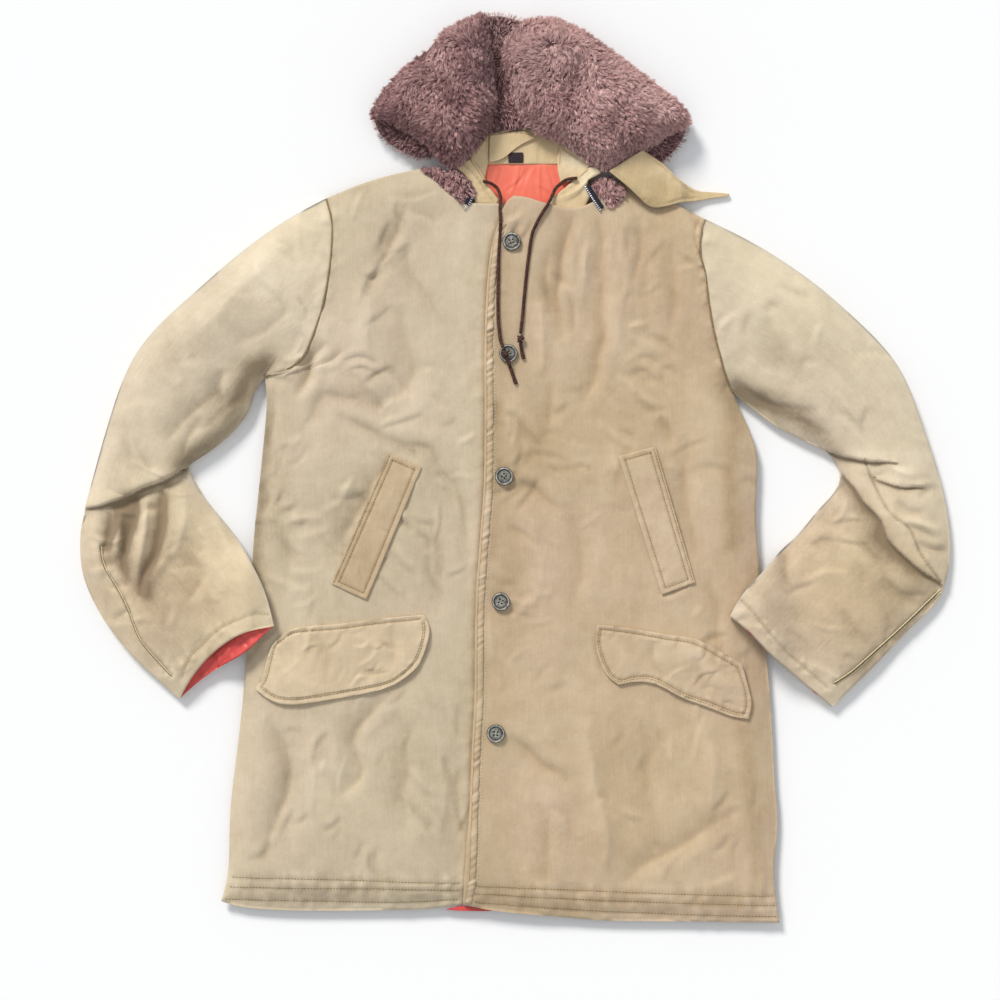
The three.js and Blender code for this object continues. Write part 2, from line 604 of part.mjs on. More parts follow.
add('collar_right', 'cloth', flatPiece([[40, 322], [48, 326], [61, 336], [72, 346], [84, 354],
  [90, 360.5],
  [98, 360], [103, 355], [88, 347], [80, 338], [82, 330], [74, 314], [46, 318.5]],
  ...neckLevels.collarRight, collarBevel));
add('lining_hem', 'lining', flatPiece([[-84, -532], [-63, -525.5], [-51, -529.5], [-24, -532.6],
  [-30, -534], [-66, -533.5]], ...neckLevels.lining));

// Slanted hand pockets and lower flaps, made on the fronts' own faces
const pocketLeft = { lower: [[-220, -139], [-178, -158]], upper: [[-151, 18], [-112, 1]] };
const pocketRight = { lower: [[176, -152], [216, -137]], upper: [[124, 14], [168, 26]] };
function welt(name, corners, carrier, topAt) {
  const [[lowerLeft, lowerRight], [upperLeft, upperRight]] = [corners.lower, corners.upper];
  const plan = planGrid(spaced([lowerLeft, upperLeft], 10), spaced([lowerRight, upperRight], 10),
    spaced([lowerLeft, lowerRight], 4), spaced([upperLeft, upperRight], 4));
  return onFronts(name, 'cloth', plan,
    (x, y) => topAt(x, y) + weltThick, (x, y) => topAt(x, y) - pocketBite, carrier);
}
welt('welt_left', pocketLeft, frontLeft, topOfLeft);
welt('welt_right', pocketRight, frontRight, topOfRight);
const flapLeftPlan = planGrid(
  spaced([[-312, -265], [-303, -250], [-297, -228], [-291, -212], [-278, -199]], 8),
  spaced([[-116, -238], [-107, -217], [-102, -194], [-109, -176]], 8),
  spaced([[-312, -265], [-290, -281], [-263, -284], [-212, -276], [-157, -265], [-133, -253],
  [-116, -238]], 12),
  spaced([[-278, -199], [-259, -191], [-212, -187], [-157, -180], [-109, -176]], 12),
);
const flapRightPlan = planGrid(
  spaced([[112, -251], [102, -234], [96, -210], [98, -188]], 8),
  spaced([[280, -301], [284, -283], [280, -263], [272, -235]], 8),
  spaced([[112, -251], [125, -260], [142, -256], [161, -256], [178, -263], [199, -275], [232, -287],
  [260, -298],
    [280, -301]], 12),
  spaced([[98, -188], [137, -192], [185, -200], [217, -205], [246, -220], [272, -235]], 12),
);
onFronts('flap_left', 'cloth', flapLeftPlan,
  (x, y) => topOfLeft(x, y) + flapThick, (x, y) => topOfLeft(x, y) - pocketBite, frontLeft);
onFronts('flap_right', 'cloth', flapRightPlan,
  (x, y) => topOfRight(x, y) + flapThick, (x, y) => topOfRight(x, y) - pocketBite, frontRight);

// Buttons, each on the highest place of the cloth beneath it
function highest(geometry, x, y, radius) {
  const mesh = new THREE.Mesh(geometry, new THREE.MeshBasicMaterial());
  const down = new THREE.Vector3(0, 0, -1);
  let top = -Infinity;
  for (const reach of [0, 0.5, 1]) {
    for (let k = 0; k < 12; k += 1) {
      const turn = (k * Math.PI) / 6;
      const out = reach * radius;
      const from = new THREE.Vector3(x + out * Math.cos(turn), y + out * Math.sin(turn), 100);
      const hit = new THREE.Raycaster(from, down).intersectObject(mesh)[0];
      top = Math.max(top, hit ? hit.point.z : -Infinity);
    }
  }
  return top;
}
const radius = buttonDiameter / 2;
const buttonProfile = table('r z', [0, 0], [radius * 0.85, 0], [radius, 1.2], [radius, 2.6],
  [radius * 0.9, buttonThick], [radius * 0.72, buttonThick], [radius * 0.62, buttonFace],
  [0, buttonFace]);
const buttonPlaces = table('x y', [-4, 271], [-8, 137], [-13, -10], [-17, -160], [-23, -318]);
function button(name, x, y) {
  const outline = buttonProfile.map((p) => new THREE.Vector2(p.r, p.z));
  const disc = new THREE.LatheGeometry(outline, 16).rotateX(Math.PI / 2);
  let solid = solidOf(disc);
  for (const turn of [0, 1, 2, 3].map((k) => (k * Math.PI) / 2 + Math.PI / 4)) {
    const hole = new THREE.CylinderGeometry(buttonHole, buttonHole, 8, 6).rotateX(Math.PI / 2)
      .translate(buttonHoleOut * Math.cos(turn), buttonHoleOut * Math.sin(turn), 2);
    solid = solid.subtract(solidOf(hole));
  }
  const level = highest(frontRight, x, y, radius) + buttonLift;
  return add(name, 'button', geometryOf(solid).translate(x, y, level));
}
buttonPlaces.forEach((place, k) => button(`button_${k + 1}`, place.x, place.y));

// Throat latch, from the right side of the hood down over the shoulder to its thin twisted tip
const latchLower = spaced([[112.5, 355], [137, 335], [155, 318], [164, 312], [174, 313], [188, 316],
  [198, 320],
  [220, 322], [232, 325], [258, 328.5]], 16);
const latchUpper = spaced([[153, 381], [165, 373.5], [178, 365], [192, 352], [204, 343], [216, 336],
  [223, 334],
  [240, 333], [252, 332], [259, 331]], 16);
const latchPlan = planGrid(latchLower, latchUpper, spaced([latchLower[0], [132.5, 368], latchUpper[0]],
  4),
  spaced([latchLower.at(-1), latchUpper.at(-1)], 4));
const latchLevel = 32.4;
const latchFalls = table('from over drop', [130, 62, 13], [180, 50, 14.4]);
const latchTop = (x) => latchFalls.reduce(
  (level, fall) => level - fall.drop * ease((x - fall.from) / fall.over),
  latchLevel,
);
onFronts('throat_latch', 'cloth', latchPlan, latchTop, (x) => latchTop(x) - strapThick,
  stripRight, frontRight, hoodBack);

// Drawstring ends, each lying on the cloth down to its knot
function tube(points, steps) {
  const path = new THREE.CatmullRomCurve3(points.map((p) => new THREE.Vector3(p.x, p.y, p.z)));
  const section = new THREE.Shape();
  section.absarc(0, 0, cordDiameter / 2, 0, 2 * Math.PI);
  return new THREE.ExtrudeGeometry(section, { steps, extrudePath: path, curveSegments: 8,
  bevelEnabled: false });
}
function knot(name, place, size, turn, tail) {
  const ball = new THREE.SphereGeometry(1, 10, 6).scale(size.x, size.y, size.z).rotateZ(turn)
    .translate(place.x, place.y, place.z);
  return add(name, 'cord', geometryOf(solidOf(ball).add(solidOf(tube(tail, 5)))));
}
const cordRouteLeft = table('x y z', [-38, 344, 23.6], [-33, 343, 22.8], [-28, 341, 21.4],
  [-22, 336.5, 20.8],
  [-18, 328, 22.6], [-17.5, 318, 27], [-18, 309, 30.8], [-17.5, 298, 32.6], [-17.6, 285, 32.3],
  [-18.6, 271, 32],
  [-19.6, 252, 31.8], [-20, 234, 31.7], [-20.5, 204, 31.5], [-20.2, 180, 31.4], [-18.8, 162, 31.5],
  [-17.4, 152, 34.4], [-14.6, 144.5, 36.4]);
const cordRouteRight = table('x y z', [74, 347.5, 24.6], [69, 347, 24.2], [62, 346, 21.6],
  [55, 341.5, 20.8],
  [48.5, 335, 22.8], [44, 325, 26.2], [38.5, 314, 29.8], [32, 304, 30.4], [25, 291, 30.1],
  [20, 278, 30.2],
  [16.5, 255, 30.2], [13.5, 230, 30.1], [11, 205, 30.1], [9, 182, 30.1], [7.2, 167, 30.4],
  [6.8, 161, 31.6]);
add('cord_left', 'cord', tube(cordRouteLeft, 26));
add('cord_right', 'cord', tube(cordRouteRight, 24));
knot('knot_left', { x: -11.6, y: 136.6, z: 37.2 }, { x: 4.6, y: 7.4, z: 4 }, 0.35,
  table('x y z', [-10, 132, 37], [-7.4, 124.8, 35], [-5.4, 118.8, 31.6], [-2.6, 111, 30.4],
  [1, 101, 30.3]));
knot('knot_right', { x: 6.8, y: 154.6, z: 32.4 }, { x: 4.6, y: 5.6, z: 4.2 }, 0,
  table('x y z', [6.9, 151, 32.2], [7, 146.6, 30.8], [8, 140, 30.2], [10, 131, 30.2]));

export default parka;
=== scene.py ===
import math
import bmesh
import bpy
import numpy as np
from mathutils import Matrix, Vector
from mathutils.bvhtree import BVHTree
from mathutils.kdtree import KDTree


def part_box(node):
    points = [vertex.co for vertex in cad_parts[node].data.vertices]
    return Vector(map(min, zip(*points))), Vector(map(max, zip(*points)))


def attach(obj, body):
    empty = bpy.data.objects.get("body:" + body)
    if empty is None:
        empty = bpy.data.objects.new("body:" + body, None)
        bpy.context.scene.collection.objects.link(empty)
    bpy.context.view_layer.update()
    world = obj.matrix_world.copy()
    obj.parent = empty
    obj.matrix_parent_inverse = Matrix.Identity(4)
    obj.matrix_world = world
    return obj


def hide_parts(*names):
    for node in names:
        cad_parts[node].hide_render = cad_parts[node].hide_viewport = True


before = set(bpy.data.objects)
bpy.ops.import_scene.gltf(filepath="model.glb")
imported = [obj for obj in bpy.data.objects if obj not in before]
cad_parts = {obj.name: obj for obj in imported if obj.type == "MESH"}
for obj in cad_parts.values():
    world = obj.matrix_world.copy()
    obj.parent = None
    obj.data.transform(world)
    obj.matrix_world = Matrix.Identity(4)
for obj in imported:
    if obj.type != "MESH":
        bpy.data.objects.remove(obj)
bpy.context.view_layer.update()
mm = 0.001  # tables below are in millimetres, the scene is in metres
garment = "root"

# camera: straight above, a long lens
camera = {"lens": 90, "sensor": 36, "aim": (-18, -38.4), "level": 22, "view": 1200}


def makeCamera(settings):
    data = bpy.data.cameras.new("camera")
    data.lens = settings["lens"]
    data.sensor_width = settings["sensor"]
    rise = settings["view"] * settings["lens"] / settings["sensor"] + settings["level"]
    eye = bpy.data.objects.new("camera", data)
    eye.location = (settings["aim"][0] * mm, settings["aim"][1] * mm, rise * mm)
    bpy.context.scene.collection.objects.link(eye)
    bpy.context.scene.camera = eye


makeCamera(camera)
print("camera made")


# lines, noise and meshes
def smoothLine(points, step):
    # a smooth line through the points, in equal steps
    p = np.array(points, float)
    ends = np.vstack([2 * p[0] - p[1], p, 2 * p[-1] - p[-2]])
    fine = []
    for k in range(len(p) - 1):
        a, b, c, d = ends[k:k + 4]
        for t in np.linspace(0, 1, 16, endpoint=False):
            fine.append(0.5 * (2 * b + (c - a) * t + (2 * a - 5 * b + 4 * c - d) * t ** 2
                               + (3 * b - a - 3 * c + d) * t ** 3))
    fine = np.array(fine + [p[-1]])
    run = np.concatenate([[0], np.cumsum(np.linalg.norm(np.diff(fine, axis=0), axis=1))])
    at = np.linspace(0, run[-1], max(2, int(round(run[-1] / step)) + 1))
    return np.column_stack([np.interp(at, run, fine[:, k]) for k in range(p.shape[1])])


def moved(line, distance):
    # the line moved sideways, to the left of its direction where distance is positive
    d = unit(np.gradient(line[:, :2], axis=0))
    return np.column_stack([line[:, 0] - d[:, 1] * distance, line[:, 1] + d[:, 0] * distance])


def lineField(line, x, y):
    # distance to the line, positive on its left, and how far along it the nearest place is
    best = np.full(x.shape, 1e9)
    side = np.ones(x.shape)
    along = np.zeros(x.shape)
    run = 0
    for (ax, ay), (bx, by) in zip(line[:-1, :2], line[1:, :2]):
        dx, dy = bx - ax, by - ay
        long = math.hypot(dx, dy)
        t = np.clip(((x - ax) * dx + (y - ay) * dy) / long ** 2, 0, 1)
        away = np.hypot(x - ax - t * dx, y - ay - t * dy)
        near = away < best
        best[near] = away[near]
        side[near] = np.where(dx * (y - ay) - dy * (x - ax) >= 0, 1, -1)[near]
        along[near] = (run + t * long)[near]
        run += long
    return best * side, along


def nearLine(line, reach, x, y):
    # the points round a line, for which its field is worked out
    low, high = line[:, :2].min(axis=0) - reach, line[:, :2].max(axis=0) + reach
    return (x > low[0]) & (x < high[0]) & (y > low[1]) & (y < high[1])


def softNoise(x, y, size, seed):
    # smooth noise between -1 and 1
    grid = np.random.default_rng(seed).uniform(-1, 1, (128, 128))
    u, v = x / size + 64, y / size + 64
    i, j = np.floor(u).astype(int), np.floor(v).astype(int)
    fu, fv = u - i, v - j
    fu, fv = fu * fu * (3 - 2 * fu), fv * fv * (3 - 2 * fv)
    at = lambda a, b: grid[a % 128, b % 128]
    low = at(i, j) * (1 - fu) + at(i + 1, j) * fu
    high = at(i, j + 1) * (1 - fu) + at(i + 1, j + 1) * fu
    return low * (1 - fv) + high * fv


def link(obj):
    bpy.context.scene.collection.objects.link(obj)
    return obj


def readRows(items, key, kind=float):
    flat = np.empty(len(items) * 3, kind)
    items.foreach_get(key, flat)
    return flat.reshape(-1, 3)


def placesOf(mesh):
    return readRows(mesh.vertices, "co") / mm


def normalsOf(mesh):
    return readRows(mesh.vertex_normals, "vector")


def unit(rows):
    return rows / np.linalg.norm(rows, axis=1)[:, None]


def setPlaces(mesh, places):
    mesh.vertices.foreach_set("co", (places * mm).ravel())
    mesh.update()


def setAttribute(mesh, name, values):
    kind, key = ("FLOAT", "value") if values.ndim == 1 else ("FLOAT_VECTOR", "vector")
    if name in mesh.attributes:
        mesh.attributes.remove(mesh.attributes[name])
    mesh.attributes.new(name, kind, "POINT").data.foreach_set(key, values.ravel().astype(np.float32))


def shadeSmooth(mesh):
    mesh.polygons.foreach_set("use_smooth", [True] * len(mesh.polygons))
    return mesh


def evaluated(obj):
    # the mesh with its modifiers in it
    graph = bpy.context.evaluated_depsgraph_get()
    mesh = bpy.data.meshes.new_from_object(obj.evaluated_get(graph))
    obj.modifiers.clear()
    return mesh


def meshOf(name, bm):
    mesh = bpy.data.meshes.new(name)
    bm.to_mesh(mesh)
    bm.free()
    return mesh


def settled(obj, name):
    obj.data = shadeSmooth(evaluated(obj))
    obj.data.name = name
    return obj


def nodeBmesh(node):
    bm = bmesh.new()
    bm.from_mesh(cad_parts[node].data)
    bmesh.ops.remove_doubles(bm, verts=bm.verts, dist=0.02 * mm)
    return bm


rimAngle = math.radians(38)  # a steeper edge is a rim


def fineCopy(name, node, levels, crease=1.0):
    # the node's form in fine quads, its rims kept where they are
    bm = nodeBmesh(node)
    bmesh.ops.join_triangles(bm, faces=bm.faces, angle_face_threshold=math.radians(40),
                             angle_shape_threshold=math.radians(80))
    layer = bm.edges.layers.float.new("crease_edge")
    for edge in bm.edges:
        if edge.is_manifold and edge.calc_face_angle(0) > rimAngle:
            edge[layer] = crease
    obj = link(bpy.data.objects.new(name, meshOf(name, bm)))
    fine = obj.modifiers.new("fine", "SUBSURF")
    fine.levels = fine.render_levels = levels
    return settled(obj, name)


def refine(obj, lines, reach, rounds):
    # a finer mesh along the lines, so that a seam or a lap stays crisp
    shortest = 1.5
    for _ in range(rounds if lines else 0):
        bm = bmesh.new()
        bm.from_mesh(obj.data)
        places = placesOf(obj.data)
        near = np.zeros(len(places), bool)
        for line in lines:
            side, _ = lineField(line, places[:, 0], places[:, 1])
            near |= np.abs(side) < reach
        up = normalsOf(obj.data)[:, 2] > 0.05
        edges = [e for e in bm.edges if all(near[v.index] and up[v.index] for v in e.verts)
                 and e.calc_length() > shortest * mm]
        bmesh.ops.subdivide_edges(bm, edges=edges, cuts=1, use_grid_fill=True, smooth=0)
        bm.to_mesh(obj.data)
        bm.free()
        shadeSmooth(obj.data)
    return obj


def finishPiece(obj, material, slot, *nodes):
    obj.data.materials.clear()
    obj.data.materials.append(materials[material])
    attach(obj, garment)
    if nodes:
        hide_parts(*nodes)
    return obj


def treeOf(*names):
    # a tree of the pieces' faces in millimetres, to lay things on
    verts, faces = [], []
    for obj in [bpy.data.objects[name] for name in names]:
        start = len(verts)
        verts += [Vector(p) for p in placesOf(obj.data)]
        faces += [[start + v for v in face.vertices] for face in obj.data.polygons]
    return BVHTree.FromPolygons(verts, faces)


def levelOn(tree, x, y, top=120):
    # how high the pieces are at a place, 0 where there's none
    place = tree.ray_cast(Vector((x, y, top)), Vector((0, 0, -1)))[0]
    return 0.0 if place is None else place.z


# materials
def colour(text):
    parts = [int(text[k:k + 2], 16) / 255 for k in (1, 3, 5)]
    return tuple(p / 12.92 if p < 0.04045 else ((p + 0.055) / 1.055) ** 2.4 for p in parts) + (1,)


def newMaterial(name, roughness, **inputs):
    material = bpy.data.materials.new(name)
    material.use_nodes = True
    shader = material.node_tree.nodes["Principled BSDF"]
    shader.inputs["Roughness"].default_value = roughness
    for key, value in inputs.items():
        shader.inputs[key.replace("_", " ")].default_value = value
    return material, material.node_tree, shader


def addNode(tree, kind, settings=None, inputs=None, output=0):
    made = tree.nodes.new("ShaderNode" + kind)
    for key, value in (settings or {}).items():
        setattr(made, key, value)
    for key, value in (inputs or {}).items():
        if isinstance(value, bpy.types.NodeSocket):
            tree.links.new(value, made.inputs[key])
        else:
            made.inputs[key].default_value = value
    return made.outputs[output]


def scaledNoise(tree, place, scale, size, detail=2, roughness=0.5):
    spread = addNode(tree, "Mapping", {}, {"Vector": place, "Scale": scale})
    return addNode(tree, "TexNoise", {}, {"Vector": spread, "Scale": size, "Detail": detail, "Roughness": roughness})


def weighted(tree, value, weight, plus):
    # plus + weight * value
    return addNode(tree, "Math", {"operation": "MULTIPLY_ADD"}, {0: value, 1: weight, 2: plus})


def ramp(tree, value, stops):
    made = tree.nodes.new("ShaderNodeValToRGB")
    tree.links.new(value, made.inputs["Fac"])
    elements = made.color_ramp.elements
    while len(elements) < len(stops):
        elements.new(0.5)
    for element, (place, text) in zip(elements, stops):
        element.position = place
        element.color = colour(text)
    return made.outputs["Color"]


def attribute(tree, name, output="Fac"):
    made = tree.nodes.new("ShaderNodeAttribute")
    made.attribute_name = name
    return made.outputs[output]


def mixColours(tree, share, first, second, blend="MIX"):
    return addNode(tree, "Mix", {"data_type": "RGBA", "blend_type": blend}, {"Factor": share, 6: first, 7: second}, 2)


def setBump(tree, shader, height, strength, distance):
    bump = addNode(tree, "Bump", {}, {"Height": height, "Strength": strength, "Distance": distance})
    tree.links.new(bump, shader.inputs["Normal"])


def clothMaterial(name, stops, tint):
    # washed cotton: fine cords along the grain and faded patches; "tone" paints shade into creases and seams and
    # highlights onto ridges and puckers
    material, tree, shader = newMaterial(name, 0.92, Sheen_Weight=0.25, Sheen_Roughness=0.6)
    place = addNode(tree, "TexCoord", output=3)
    grain = attribute(tree, "grain", "Vector")
    tone = attribute(tree, "tone")
    patches = scaledNoise(tree, place, (1, 0.7, 1), 7, 4, 0.55)
    mottles = scaledNoise(tree, place, (1, 1, 1), 44, 7, 0.68)
    streaks = scaledNoise(tree, grain, (1, 0.05, 1), 520, 2, 0.5)
    cords = scaledNoise(tree, grain, (1, 0.16, 1), 1500, 1, 0.5)
    crumple = scaledNoise(tree, place, (1, 0.6, 1), 30, 6, 0.58)
    ridges = addNode(tree, "Math", {"operation": "ABSOLUTE"}, {0: weighted(tree, crumple, 2, -1)})
    where = scaledNoise(tree, place, (1, 1, 1), 9, 2, 0.5)
    share = addNode(tree, "MapRange", {}, {"Value": where, "From Min": 0.42, "From Max": 0.6})
    value = weighted(tree, tone, 0.5, 0.5)
    for noise, weight in ((patches, 0.44), (mottles, 0.36), (streaks, 0.13), (cords, 0.16)):
        middle = addNode(tree, "Math", {"operation": "SUBTRACT"}, {0: value, 1: weight / 2})
        value = weighted(tree, noise, weight, middle)
    base = ramp(tree, value, stops)
    tintPlace = scaledNoise(tree, place, (1, 1, 1), 4.5, 2, 0.5)
    tinting = addNode(tree, "MapRange", {}, {"Value": tintPlace, "From Min": 0.42, "From Max": 0.68, "To Min": 0,
                                             "To Max": 0.45})
    tinted = addNode(tree, "HueSaturation", {}, {"Hue": tint[0], "Saturation": tint[1], "Value": tint[2],
                                                "Color": base})
    mixed = mixColours(tree, tinting, base, tinted)
    # the forearms are painted warmer and darker, the darkening standing in for their shade
    warmed = mixColours(tree, attribute(tree, "warmShade"), mixed, (1, 0.91, 0.8, 1), "MULTIPLY")
    # painted light: the rims that face up the picture take the cooler colour of the light they catch
    rims = mixColours(tree, attribute(tree, "paintedRimLight"), warmed, colour("#B2B1AA"))
    tree.links.new(rims, shader.inputs["Base Color"])
    relief = weighted(tree, streaks, 0.6, weighted(tree, cords, 0.8, 0))
    fine = addNode(tree, "Bump", {}, {"Height": relief, "Strength": 0.35, "Distance": 0.0005})
    worn = addNode(tree, "Math", {"operation": "MULTIPLY"}, {0: ridges, 1: weighted(tree, share, 0.65, 0.35)})
    bump = addNode(tree, "Bump", {"invert": True}, {"Height": worn, "Strength": 0.4, "Distance": 0.003,
                                                    "Normal": fine})
    tree.links.new(bump, shader.inputs["Normal"])
    return material


clothStops = (0.1, 0.38, 0.6, 0.9)
clothColours = {
    # from the darkest, in painted crease shade, to the palest, on painted highlights and faded places, then the hue and
    # saturation of its faded patches
    "frontLeft": ("#87765B", "#B9A88B", "#CEBEA2", "#E3D8C0", 0.475, 0.95),
    "frontRight": ("#8B724F", "#B49C79", "#C8B292", "#DDCBB0", 0.48, 0.95),
    "sleeve": ("#87765A", "#BFAF92", "#D8C9AC", "#EBE1CB", 0.475, 0.9),
    "pocket": ("#8F7B5C", "#C1AC8B", "#D5C1A1", "#E9DBC2", 0.48, 0.95),
    "trim": ("#947B52", "#C4AB7E", "#DAC297", "#F4E5C4", 0.49, 0.9),
}
materials = {key: clothMaterial("cloth" + key[0].upper() + key[1:], list(zip(clothStops, row[:4])), (*row[4:], 1.0))
             for key, row in clothColours.items()}
print("cloth materials made")


def liningMaterial(name, stops):
    # thin shiny nylon with fine criss-cross creases; "tone" brings the painted shade and highlights of its folds
    material, tree, shader = newMaterial(name, 0.42, Sheen_Weight=0.15)
    place = addNode(tree, "TexCoord", output=3)
    creases = scaledNoise(tree, place, (1, 0.35, 1), 150, 4, 0.65)
    clouds = scaledNoise(tree, place, (1, 1, 1), 30, 2, 0.5)
    value = weighted(tree, clouds, 0.3, weighted(tree, attribute(tree, "tone"), 0.55, 0.15))
    value = weighted(tree, creases, 0.35, value)
    tree.links.new(ramp(tree, value, stops), shader.inputs["Base Color"])
    setBump(tree, shader, creases, 0.3, 0.0008)
    return material


def pileMaterial(name, stops, bumped):
    # matted pile: each strand takes the tone of its tuft, with the painted light and shade of its place
    material, tree, shader = newMaterial(name, 0.85, Sheen_Weight=0.5, Sheen_Roughness=0.45)
    place = addNode(tree, "TexCoord", output=3)
    patches = scaledNoise(tree, place, (1, 1, 1), 14, 3, 0.6)
    value = weighted(tree, attribute(tree, "tone"), 0.5, weighted(tree, patches, 0.5, 0.25))
    tree.links.new(ramp(tree, value, stops), shader.inputs["Base Color"])
    if bumped:
        locks = scaledNoise(tree, place, (1, 1, 1), 260, 4, 0.7)
        setBump(tree, shader, locks, 0.9, 0.003)
    return material


def speckledMaterial(name, roughness, stops, size, bumpDepth, toned=False, **inputs):
    material, tree, shader = newMaterial(name, roughness, **inputs)
    place = addNode(tree, "TexCoord", output=3)
    specks = scaledNoise(tree, place, (1, 1, 1), size, 3, 0.6)
    value = weighted(tree, attribute(tree, "tone"), 0.6, specks) if toned else specks
    tree.links.new(ramp(tree, value, stops), shader.inputs["Base Color"])
    setBump(tree, shader, specks, 0.5, bumpDepth)
    return material


materials.update({
    "lining": liningMaterial("liningNylon", [(0.1, "#C9453E"), (0.36, "#EF6C55"), (0.6, "#F88268"),
                                             (0.9, "#FFA388")]),
    "cuffLining": liningMaterial("cuffNylon", [(0.1, "#8E2727"), (0.36, "#C6423E"), (0.6, "#DE544C"),
                                               (0.9, "#F27F70")]),
    "seam": speckledMaterial("seamShade", 0.95, [(0.3, "#6E5B40"), (0.55, "#8A7656"), (0.8, "#A8956F")], 500, 0.0002),
    "pile": pileMaterial("hoodPile", [(0.1, "#381B20"), (0.36, "#7A4E51"), (0.6, "#AB7C7B"), (0.9, "#E0BBB5")], False),
    "pileGround": pileMaterial("hoodGround", [(0.2, "#3E2224"), (0.6, "#6E4648"), (0.9, "#946466")], True),
    "button": speckledMaterial("buttonHorn", 0.42, [(0.1, "#1C1B18"), (0.45, "#66645C"), (0.55, "#7D7B72"),
                                                    (0.9, "#CBC9BF")], 260, 0.0001, toned=True, Coat_Weight=0.12),
    "cord": speckledMaterial("cordBraid", 0.8, [(0.4, "#26100B"), (0.54, "#43201A"), (0.64, "#7E5036"),
                                                (0.8, "#A87C56")], 620, 0.0004),
    "tape": speckledMaterial("zipTape", 0.85, [(0.3, "#100C18"), (0.6, "#1D182A"), (0.8, "#2E283F")], 900, 0.0003),
    "teeth": speckledMaterial("zipTeeth", 0.3, [(0.3, "#A9AEB8"), (0.6, "#D5D8DD"), (0.8, "#F0F1F3")], 600, 0.0001,
                              Metallic=1.0),
    "tab": speckledMaterial("neckTab", 0.8, [(0.3, "#1F1216"), (0.6, "#2F1F25"), (0.8, "#4A353B")], 1200, 0.0003),
    "thread": speckledMaterial("paleThread", 0.8, [(0.3, "#B8A67C"), (0.55, "#D9CBA6"), (0.8, "#EDE3C6")], 700, 0.0001),
    "darkThread": speckledMaterial("darkThread", 0.85, [(0.3, "#6B5632"), (0.55, "#84703F"), (0.8, "#A08B5C")], 700,
                                   0.0001),
})
print("other materials made")


# floor and light
light = {"sky": 0.63, "sun": 2.8, "softness": 16, "from": (-0.42, 0.76, 0.6)}


def makeStage():
    bpy.ops.mesh.primitive_plane_add(size=8, location=(0, 0, -0.0004))
    floor = bpy.context.object
    floor.name = "floor"
    material, tree, shader = newMaterial("paleFloor", 0.9)
    shader.inputs["Base Color"].default_value = (0.9, 0.9, 0.9, 1)
    floor.data.materials.append(material)
    world = bpy.data.worlds.new("studio")
    world.use_nodes = True
    world.node_tree.nodes["Background"].inputs["Color"].default_value = (0.93, 0.96, 1, 1)
    world.node_tree.nodes["Background"].inputs["Strength"].default_value = light["sky"]
    bpy.context.scene.world = world
    key = bpy.data.lights.new("key", "SUN")
    key.energy = light["sun"]
    key.angle = math.radians(light["softness"])
    key.color = (1, 0.975, 0.94)
    lamp = link(bpy.data.objects.new("key", key))
    lamp.rotation_euler = Vector(light["from"]).to_track_quat("Z", "Y").to_euler()
    bpy.context.scene.view_settings.view_transform = "Standard"


makeStage()
print("stage made")


# cords: three strands twisted along the routes where the drawstrings lie
cordPiece = {"diameter": 4, "strand": 1.12, "offset": 1.1, "pitch": 6.5, "step": 0.9}
cordRoutes = {
    "Left": [(-38, 344, 23.6), (-33, 343, 22.8), (-28, 341, 21.4), (-22, 336.5, 20.8), (-18, 328, 22.6),
             (-17.5, 318, 27), (-18, 309, 30.8), (-17.5, 298, 32.6), (-17.6, 285, 32.3), (-18.6, 271, 32),
             (-19.6, 252, 31.8), (-20, 234, 31.7), (-20.5, 204, 31.5), (-20.2, 180, 31.4), (-18.8, 162, 31.5),
             (-17.4, 152, 34.4), (-14.6, 144.5, 36.4)],
    "Right": [(74, 347.5, 24.6), (69, 347, 24.2), (62, 346, 21.6), (55, 341.5, 20.8), (48.5, 335, 22.8),
              (44, 325, 26.2), (38.5, 314, 29.8), (32, 304, 30.4), (25, 291, 30.1), (20, 278, 30.2),
              (16.5, 255, 30.2), (13.5, 230, 30.1), (11, 205, 30.1), (9, 182, 30.1), (7.2, 167, 30.4),
              (6.8, 161, 31.6)],
}
tails = {
    "Left": [(-10, 132, 37), (-7.4, 124.8, 35), (-5.4, 118.8, 31.6), (-2.6, 111, 30.4), (1, 101, 30.3)],
    "Right": [(6.9, 151, 32.2), (7, 146.6, 30.8), (8, 140, 30.2), (10, 131, 30.2)],
}
knots = {
    "Left": {"place": (-11.6, 136.6, 37.2), "turn": 0.35, "size": (4.4, 6.6, 3.6)},
    "Right": {"place": (6.8, 154.6, 32.4), "turn": 0, "size": (4.4, 5.2, 3.8)},
}


def tubesMesh(name, paths, radius):
    # round tubes along the paths, as one mesh
    curve = bpy.data.curves.new(name, "CURVE")
    curve.dimensions = "3D"
    curve.bevel_depth = radius * mm
    curve.bevel_resolution = 1
    curve.use_fill_caps = True
    for path in paths:
        spline = curve.splines.new("POLY")
        spline.points.add(len(path) - 1)
        spline.points.foreach_set("co", np.column_stack([path * mm, np.ones(len(path))]).ravel())
    obj = link(bpy.data.objects.new(name, curve))
    mesh = shadeSmooth(evaluated(obj))
    bpy.data.objects.remove(obj)
    return link(bpy.data.objects.new(name, mesh))


def strandPaths(route, settings, fray=0):
    line = smoothLine(route, settings["step"])
    tangent = unit(np.gradient(line, axis=0))
    across = unit(np.cross(tangent, [0, 0, 1.0]))
    up = np.cross(across, tangent)
    run = np.arange(len(line)) * settings["step"]
    spread = settings["offset"] * (1 + fray * np.clip((run - run[-1] + 9) / 9, 0, 1))
    paths = []
    for k in range(3):
        turn = 2 * math.pi * (run / settings["pitch"] + k / 3)
        paths.append(line + spread[:, None] * (np.cos(turn)[:, None] * across + np.sin(turn)[:, None] * up))
    return paths


